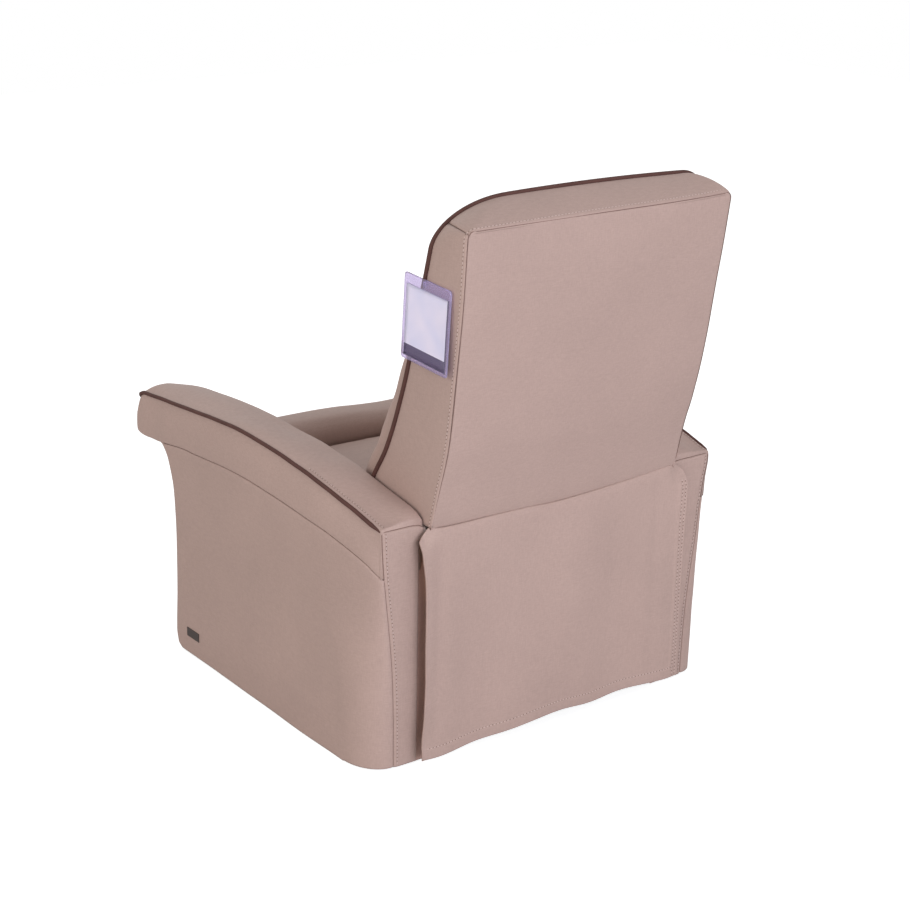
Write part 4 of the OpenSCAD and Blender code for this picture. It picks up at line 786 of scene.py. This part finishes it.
# Back cushions. A lumbar cushion and a head cushion of foam in leatherette, sewn to each other in
# a deep cross seam and held in front of the cord, each swollen to a crown by its stuffing.
def pad_ring(w, d, r_top, r_foot, n=13, m=24):
    """A rounded rectangle, w by d, with two corner radii at +d and one at -d."""
    corners = ((1, 1, r_top[0]), (-1, 1, r_top[1]), (-1, -1, r_foot), (1, -1, r_foot))
    out = []
    for q, (sx, sy, r) in enumerate(corners):
        a = np.radians(90 * q + np.linspace(0, 90, n))
        out.append(stack(sx * (w / 2 - r) + r * np.cos(a), sy * (d / 2 - r) + r * np.sin(a)))
        nx, ny, nr = corners[(q + 1) % 4]
        next_a = np.radians(90 * (q + 1))
        end = np.array([nx * (w / 2 - nr), ny * (d / 2 - nr)])
        end += nr * np.array([np.cos(next_a), np.sin(next_a)])
        t = np.linspace(0, 1, m)[1:-1, None]
        out.append(out[-1][-1] + (end - out[-1][-1]) * t)
    return np.concatenate(out)


def pad_grid(w, d, roll, r_top, r_foot):
    """A pad lying on its back: a flat back, edges rolled over a quarter circle and a face. Each
    point has its place across and along, its share of the thickness, and its share of the crown,
    which is one minus the square of the way left to the middle."""
    rings = [(s * min(w, d) / 2, 0, 0) for s in (0.96, 0.75, 0.5, 0.25, 0.08)]
    rings += [(roll * (1 - np.cos(a)), 0.5 + 0.5 * np.sin(a), 0)
              for a in np.radians(np.linspace(-90, 90, 15))]
    rings += [(roll + s * (min(w, d) / 2 - roll), 1, s)
              for s in (0.04, 0.1, 0.2, 0.32, 0.46, 0.6, 0.74, 0.86, 0.95)]
    grid = []
    for inset, share, s in rings:
        left = min(w, d) / 2 - inset
        *rt, rf = (min(max(min(r - inset, left), 0.002) * (1 - s**0.5) + left * s**0.5, left)
                   for r in (*r_top, r_foot))
        ring = pad_ring(w - 2 * inset, d - 2 * inset, rt, rf)
        level = np.broadcast_to((share, 1 - (1 - s) ** 2), (len(ring), 2))
        grid.append(np.concatenate([ring, level], 1))
    return np.stack(grid)


def stuff(piece, voxel, reach, pressure=4.0, steps=20):
    """Stuffs a closed skin: an even mesh of it swells as cloth under pressure from inside, and no
    point moves further than reach."""
    remesh = piece.modifiers.new("even", "REMESH")
    remesh.mode, remesh.voxel_size = "VOXEL", voxel
    view = bpy.context.evaluated_depsgraph_get()
    even = bpy.data.meshes.new_from_object(piece.evaluated_get(view), depsgraph=view)
    piece.modifiers.clear()
    old, piece.data = piece.data, even
    bpy.data.meshes.remove(old)
    start = np.zeros(len(even.vertices) * 3, np.float32)
    even.vertices.foreach_get("co", start)
    shift = np.zeros((len(even.vertices), 3), np.float32)
    cloth = piece.modifiers.new("stuffing", "CLOTH")
    cloth.settings.use_pressure = True
    cloth.settings.uniform_pressure_force = pressure
    cloth.settings.tension_stiffness = cloth.settings.compression_stiffness = 40
    cloth.settings.bending_stiffness = 6
    cloth.settings.effector_weights.gravity = 0
    cloth.point_cache.frame_end = steps
    for step in range(1, steps + 1):
        bpy.context.scene.frame_set(step)
    view = bpy.context.evaluated_depsgraph_get()
    moved = np.zeros_like(start)
    piece.evaluated_get(view).data.vertices.foreach_get("co", moved)
    piece.modifiers.clear()
    bpy.context.scene.frame_set(1)
    shift = (moved - start).reshape(-1, 3)
    shift -= shift.mean(0)
    far = np.linalg.norm(shift, axis=1, keepdims=True)
    shift *= np.minimum(1, reach / np.maximum(far, 1e-9))
    even.vertices.foreach_set("co", (start.reshape(-1, 3) + shift).ravel())
    even.update()
    even.shade_smooth()
    smooth = piece.modifiers.new("even_out", "SMOOTH")
    smooth.factor, smooth.iterations = 0.5, 4
    finer = piece.modifiers.new("finer", "SUBSURF")
    finer.levels = finer.render_levels = 1


ahead_by = curve([
    [0.405, 0.02], [0.44, 0.032], [0.5, 0.0445], [0.56, 0.0515], [0.61, 0.05], [0.656, 0.043],
    [0.7, 0.039], [0.735, 0.032], [0.79, 0.018], [0.85, 0.0095], [0.92, 0.003], [0.98, 0],
    [1.03, -0.003]])
behind = 0.012
for name, low, high, crown, r_top, replaced in (
        ("lumbar_pad", 0.413, 0.7505, 0.012, (0.01, 0.01), "lumbar_cushion"),
        ("head_pad", 0.7505, 1.0165, 0.014, (0.092, 0.056), "head_cushion")):
    grid = pad_grid(1.0, high - low, 0.012, r_top, 0.012)
    z = (low + high) / 2 + grid[..., 1]
    x = np.sign(grid[..., 0]) * (front_half(z) - 0.0012 - (0.5 - np.abs(grid[..., 0])))
    x = np.where(np.abs(grid[..., 0]) < 0.25, grid[..., 0] * (front_half(z) - 0.2512) / 0.25, x)
    x = np.where(x < 0, x * right_wider(z), x)
    y = back_front(z) + behind - grid[..., 2] * (behind + ahead_by(z)) - crown * grid[..., 3]
    pad = cover(name, stack(x, y, z), "backrest", replaced, wrap=True)
    stuff(pad, 0.006, 0.007)

# Seat. A foam cushion and a front bolster in leatherette, the cushion laid on elastic straps
# between the arms and the bolster stapled round a deck board.
pad_half, seat_h, seat_t, seat_crown = 0.282, 0.405, 0.072, 0.009
seat_y = (-0.2277, 0.131)
grid = pad_grid(2 * pad_half, seat_y[1] - seat_y[0], 0.016, (0.02, 0.02), 0.02)
z = seat_h - seat_t + grid[..., 2] * seat_t + grid[..., 3] * seat_crown
seat = cover("seat_pad", stack(grid[..., 0], grid[..., 1] + sum(seat_y) / 2, z), "base",
             "seat_cushion", wrap=True)
stuff(seat, 0.007, 0.005)

bolster_low, bolster_high = np.array([(-0.33, 0.3843), (-0.228, 0.45)])
a = np.linspace(0, 2 * np.pi, 72, endpoint=False)[None]
t = seam_steps(70, 0.15)[:, None]
end = 1 - 0.3 * (np.maximum(0, 1 - t / 0.045) ** 2 + np.maximum(0, 1 - (1 - t) / 0.045) ** 2)
v = np.sign(np.sin(a)) * np.abs(np.sin(a)) ** np.where(np.sin(a) > 0, 0.75, 0.4)
c = np.sign(np.cos(a)) * np.abs(np.cos(a)) ** 0.62
mid_y, mid_z = (bolster_low + bolster_high) / 2
hy, hz = (bolster_high - bolster_low) / 2
x = pad_half * (2 * t - 1)
sag = 0.011 * hump(x, -0.09, 0.11)
grid = stack(x, mid_y + hy * end * c,
             np.where(v < 0, mid_z + hz * v, mid_z + hz * end * v - sag * np.maximum(v, 0)))
bolster = cover("bolster_pad", grid, "base", "front_bolster", wrap=True)
stuff(bolster, 0.006, 0.003)

# Leg rest. A board with a padded face that hangs under the bolster and swings up on two hinges.
leg_w, leg_low, leg_high, leg_crown = 0.56, 0.06, 0.351, 0.008
leg_face_y, leg_back_y = -0.3267, -0.2623
grid = pad_grid(leg_w, leg_high - leg_low, 0.012, (0.014, 0.014), 0.014)
y = leg_back_y - grid[..., 2] * (leg_back_y - leg_face_y - leg_crown) - leg_crown * grid[..., 3]
leg = cover("leg_pad", stack(grid[..., 0], y, (leg_low + leg_high) / 2 + grid[..., 1]), "leg_rest",
            "leg_cushion", wrap=True)
stuff(leg, 0.006, 0.003)

# Skirt. A flap of the same leatherette sewn to the foot of the back, hemmed at its sides and its
# lower edge, that hangs behind the base and hides the drives.
skirt_y, hem = 0.3722, 0.02
skirt_foot = curve([
    [-0.3092, 0.0228], [-0.2805, 0.0234], [-0.2413, 0.0258], [-0.1643, 0.0268], [-0.0894, 0.0228],
    [-0.016, 0.0275], [0.0557, 0.0268], [0.1258, 0.0202], [0.1944, 0.0182], [0.2616, 0.0155],
    [0.3034, 0.0172]])
left_line = [
    [0.018, 0.3013], [0.058, 0.3016], [0.1, 0.2989], [0.166, 0.2969], [0.232, 0.2985],
    [0.29, 0.298], [0.338, 0.2985], [0.3626, 0.2996], [0.3868, 0.3018], [0.411, 0.304],
    [0.425, 0.3056], [0.4315, 0.3058], [0.4345, 0.304], [0.4547, 0.2835]]
right_line = [
    [0.02, 0.306], [0.2, 0.3062], [0.344, 0.3069], [0.39, 0.3091], [0.4278, 0.3122],
    [0.4398, 0.3093], [0.4515, 0.2954], [0.4608, 0.2801]]
folded = 0.07
down = np.concatenate([np.linspace(0, folded, 16), folded + (1 - folded) * seam_steps(120, 0.6)[1:]])
down = down[:, None]
u = (2 * seam_steps(171, 0.45) - 1)[None]
left_x, right_x = (np.interp(line[-1][0] + (line[0][0] - line[-1][0]) * down, *np.array(line).T)
                   for line in (left_line, right_line))
x = (left_x - right_x) / 2 - (left_x + right_x) / 2 * u
seam_z, foot_z = skirt_top(x), skirt_foot(x)
z = seam_z + (foot_z - seam_z) * down
ease, low = np.clip(down * 5, 0, 1), np.clip((0.3 - z) / 0.25, 0, 1)
upper = np.clip(3 - 3 * down, 0, 1)
fold = (0.0036 * np.sin(6.6 * u + 2 * down + 0.4) + 0.0019 * np.sin(11.3 * u - 3 * down + 1.2)
        - 0.0058 * hump(x - 0.266, 0.006 * down, 0.017) * upper
        - 0.0014 * hump(x * 0.8 + z * 0.6, 0.262, 0.02) * low
        + 0.0012 * hump(x, left_x, 0.003) + 0.0012 * hump(-x, right_x, 0.003)
        - 0.0016 * hump(x, -0.236, 0.012) * upper)
hemmed = 0.0014 / (1 + np.exp((np.minimum(x + right_x, z - foot_z) - hem) / 0.001))
shoulder = ramp(z, 0.41, 0.034) * ramp(np.abs(x), 0.262, 0.034)
shoulder = shoulder**2 * (3 - 2 * shoulder)
tucked = -0.0045 * np.exp(-down / 0.016)
y = skirt_y + 0.0025 * ease + fold * ease + hemmed - 0.011 * shoulder + tucked
skirt_grid = stack(x, y, z)
skirt = surface("rear_skirt", skirt_grid, out=(0, 1, 0))
finish(skirt, leather, "leatherette", "skirt_flap", "skirt", thickness=0.003)
# A thin dark tube of painted shade under the skirt's lower edge.
painted_crease_shade("skirt_foot_shade", skirt_grid[-1, ::2] - (0, 0.0022, 0), "skirt_flap", 0.0009)
row = int(np.argmin(np.abs(z[:, 85] - foot_z[:, 85] - hem)))
lines = {"lower": skirt_grid[row, 5:-5]}
for word, at in (("right", 0.012), ("right_edge", 0.005)):
    column = np.argmin(np.abs(x + right_x - at), axis=1)
    lines[word] = skirt_grid[np.arange(len(column)), column][16:-3]
hems = [stitch_row(f"skirt_hem_{word}", line + (0, 0.0003, 0), (0, 1, 0), "skirt_flap")
        for word, line in lines.items()]

# Label. A bare dark plate at the foot of the left arm's side; the two push buttons in a plate on
# the right arm's side take their materials with the frame and drives below.
repaint(clouded("label_plate", (0.05, 0.036, 0.032), 0.5, 900, 2, 0.75, 1.3)[0], "side_label")

# Hang tag. A soft vinyl sleeve, clear over its window and violet in its welded border, with a plain
# card in it that has a violet band along its foot, held to the boxing by a fastener.
tag_x, tag_y, tag_z, tag_lean = 0.2965, 0.3632, 0.8138, 0.065
tag_w, tag_h, tag_round, weld = 0.13, 0.15, 0.006, 0.006


def tag_place(tree):
    """A point of the tag as it lies in the tag's own plane, from the tag's middle."""
    return add(tree, "Mapping", vector_type="TEXTURE", Vector=own_place(tree),
               Location=(tag_x, tag_y, tag_z), Rotation=(-tag_lean, 0, 0)).outputs[0]


clear = (0.97, 0.97, 0.99)
sleeve, shader, tree = new_material("tag_vinyl", clear, 0.08, Transmission_Weight=1.0, IOR=1.15)
place = tag_place(tree)
from_middle = add(tree, "VectorMath", operation="ADD", _0=place, _1=(0, 0, 0.006))
distance = add(tree, "SeparateXYZ", _0=add(tree, "VectorMath", operation="ABSOLUTE",
                                          _0=from_middle.outputs[0]).outputs[0])
border = compute(tree, "MAXIMUM", *(
    compute(tree, "GREATER_THAN", distance.outputs[axis], half)
    for axis, half in (("Y", tag_w / 2 - 0.007), ("Z", tag_h / 2 - 0.013))))
tint = add(tree, "MixRGB", blend_type="MIX", Fac=border, Color1=(*clear, 1), Color2=(0.66, 0.58, 0.8, 1))
tree.links.new(tint.outputs[0], shader.inputs["Base Color"])
tree.links.new(between(tree, border, 1.0, 0.72), shader.inputs["Transmission Weight"])
tree.links.new(between(tree, noise(tree, place, 60, 2), 0.04, 0.16), shader.inputs["Roughness"])
card, shader, tree = new_material("tag_paper", (0.6, 0.57, 0.69), 0.5)
place = tag_place(tree)
axes = add(tree, "SeparateXYZ", _0=place)
paper = add(tree, "MixRGB", blend_type="MIX", Fac=noise(tree, place, 22, 1),
            Color1=(0.52, 0.52, 0.68, 1), Color2=(0.7, 0.63, 0.71, 1))
marked = compute(tree, "MAXIMUM", compute(tree, "LESS_THAN", axes.outputs["Z"], -0.048),
                 compute(tree, "GREATER_THAN", axes.outputs["Y"], 0.0555))
shown = add(tree, "MixRGB", blend_type="MIX", Fac=marked, Color1=paper.outputs[0],
            Color2=(0.09, 0.066, 0.13, 1))
tree.links.new(shown.outputs[0], shader.inputs["Base Color"])
repaint(sleeve, "tag_fastener")


def hang(points):
    """The tag hangs a little askew: turned about its middle in its own plane by tag_lean."""
    p = np.array(points, float)
    y, z = p[..., 1].copy(), p[..., 2].copy()
    p[..., 1] = tag_y + y * math.cos(tag_lean) + z * math.sin(tag_lean)
    p[..., 2] = tag_z - y * math.sin(tag_lean) + z * math.cos(tag_lean)
    return p


a = np.radians(np.linspace(0, 90, 7))
quarter = tag_round * stack(np.cos(a), np.sin(a))
rim = np.concatenate([
    (quarter[::-1 if sy * sz < 0 else 1] - tag_round) * (sy, sz) + (sy * tag_w / 2, sz * tag_h / 2)
    for sy, sz in ((1, 1), (-1, 1), (-1, -1), (1, -1))])
inner = rim * (1 - 2 * weld / tag_w, 1 - 2 * weld / tag_h)
rings = [(inner * 0.4, 0.0004), (inner * 0.985, 0.0004), (inner, 0), (rim * 0.998, 0),
         (rim, 0.0004), (rim, 0.0016), (rim * 0.998, 0.002), (inner, 0.002),
         (inner * 0.985, 0.0016), (inner * 0.4, 0.0016)]
pouch = np.stack([stack(tag_x + depth, *ring.T) for ring, depth in rings])
pouch = surface("tag_pouch", hang(pouch), wrap=True)
finish(pouch, sleeve, "clear_plastic", "hang_tag", "tag_sleeve")
cad_tag_z = 0.816
low, high = (np.array(corner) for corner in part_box("tag_card"))
y, z = np.linspace(-0.5, 0.5, 12)[:, None], np.linspace(-0.5, 0.5, 14)[None]
z = z * (high[2] - low[2]) + (low[2] + high[2]) / 2 - cad_tag_z
sheet = surface("tag_sheet", hang(stack(high[0] + 0 * y, y * (high[1] - low[1]), z)), out=(1, 0, 0))
finish(sheet, card, "card", "hang_tag", "tag_card", thickness=float(high[0] - low[0]))

# Frame and drives. Sawn timber rails, zinc plated steel brackets and rods, black tubes and black
# moulded housings, as they come from the maker's store.
def store_material(name, color, roughness, stretch, scale, deep, bump_m, **sockets):
    """A material whose colour and bump follow one noise, drawn out along the stretched axes."""
    material, shader, tree = new_material(name, color, roughness, **sockets)
    place = add(tree, "Mapping", Vector=own_place(tree), Scale=stretch)
    grain = noise(tree, place.outputs[0], scale, 4, Roughness=0.6)
    color_by(tree, shader, color, between(tree, grain, 1 - deep, 1 + deep, From_Min=0.3, From_Max=0.7))
    rough = between(tree, grain, roughness * 0.8, min(1, roughness * 1.25))
    tree.links.new(rough, shader.inputs["Roughness"])
    bump_by(tree, shader, grain, 0.3, bump_m)
    return material


beech = (0.58, 0.41, 0.25)
timber = store_material("beech", beech, 0.6, (1, 0.06, 0.06), 160, 0.22, 0.0004)
upright = store_material("beech_upright", beech, 0.6, (1, 1, 0.05), 160, 0.22, 0.0004)
steel = store_material("zinc_plate", (0.6, 0.6, 0.61), 0.33, (1, 1, 1), 240, 0.08, 0.0001,
                       Metallic=1.0)
black_steel = store_material("black_coat", (0.03, 0.03, 0.031), 0.42, (1, 1, 1), 700, 0.25, 0.0002)
plastic = store_material("black_moulding", (0.024, 0.024, 0.025), 0.5, (1, 1, 1), 1400, 0.25, 0.0002)
webbing = store_material("elastic_web", (0.05, 0.048, 0.047), 0.85, (1, 0.25, 1), 500, 0.35, 0.0006)
for material, names in (
        (timber, "left_arm_frame right_arm_frame seat_frame_rails bottom_rails back_rails leg_board"),
        (upright, "left_back_stile right_back_stile"),
        (steel, "pivot_plates pivot_pins leg_hinge_brackets leg_hinge_pins recline_lever leg_lever "
                "recline_rod leg_rod recline_button return_button"),
        (black_steel, "cross_tubes recline_outer_tube leg_outer_tube back_cross_tube"),
        (plastic, "glides recline_motor leg_motor control_box power_inlet switch_plate"),
        (webbing, "seat_straps back_straps dust_cover"), (leather, "tail_board front_deck")):
    repaint(material, *names.split())

[[list(corner) for corner in box] for box in (cad_box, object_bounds())]
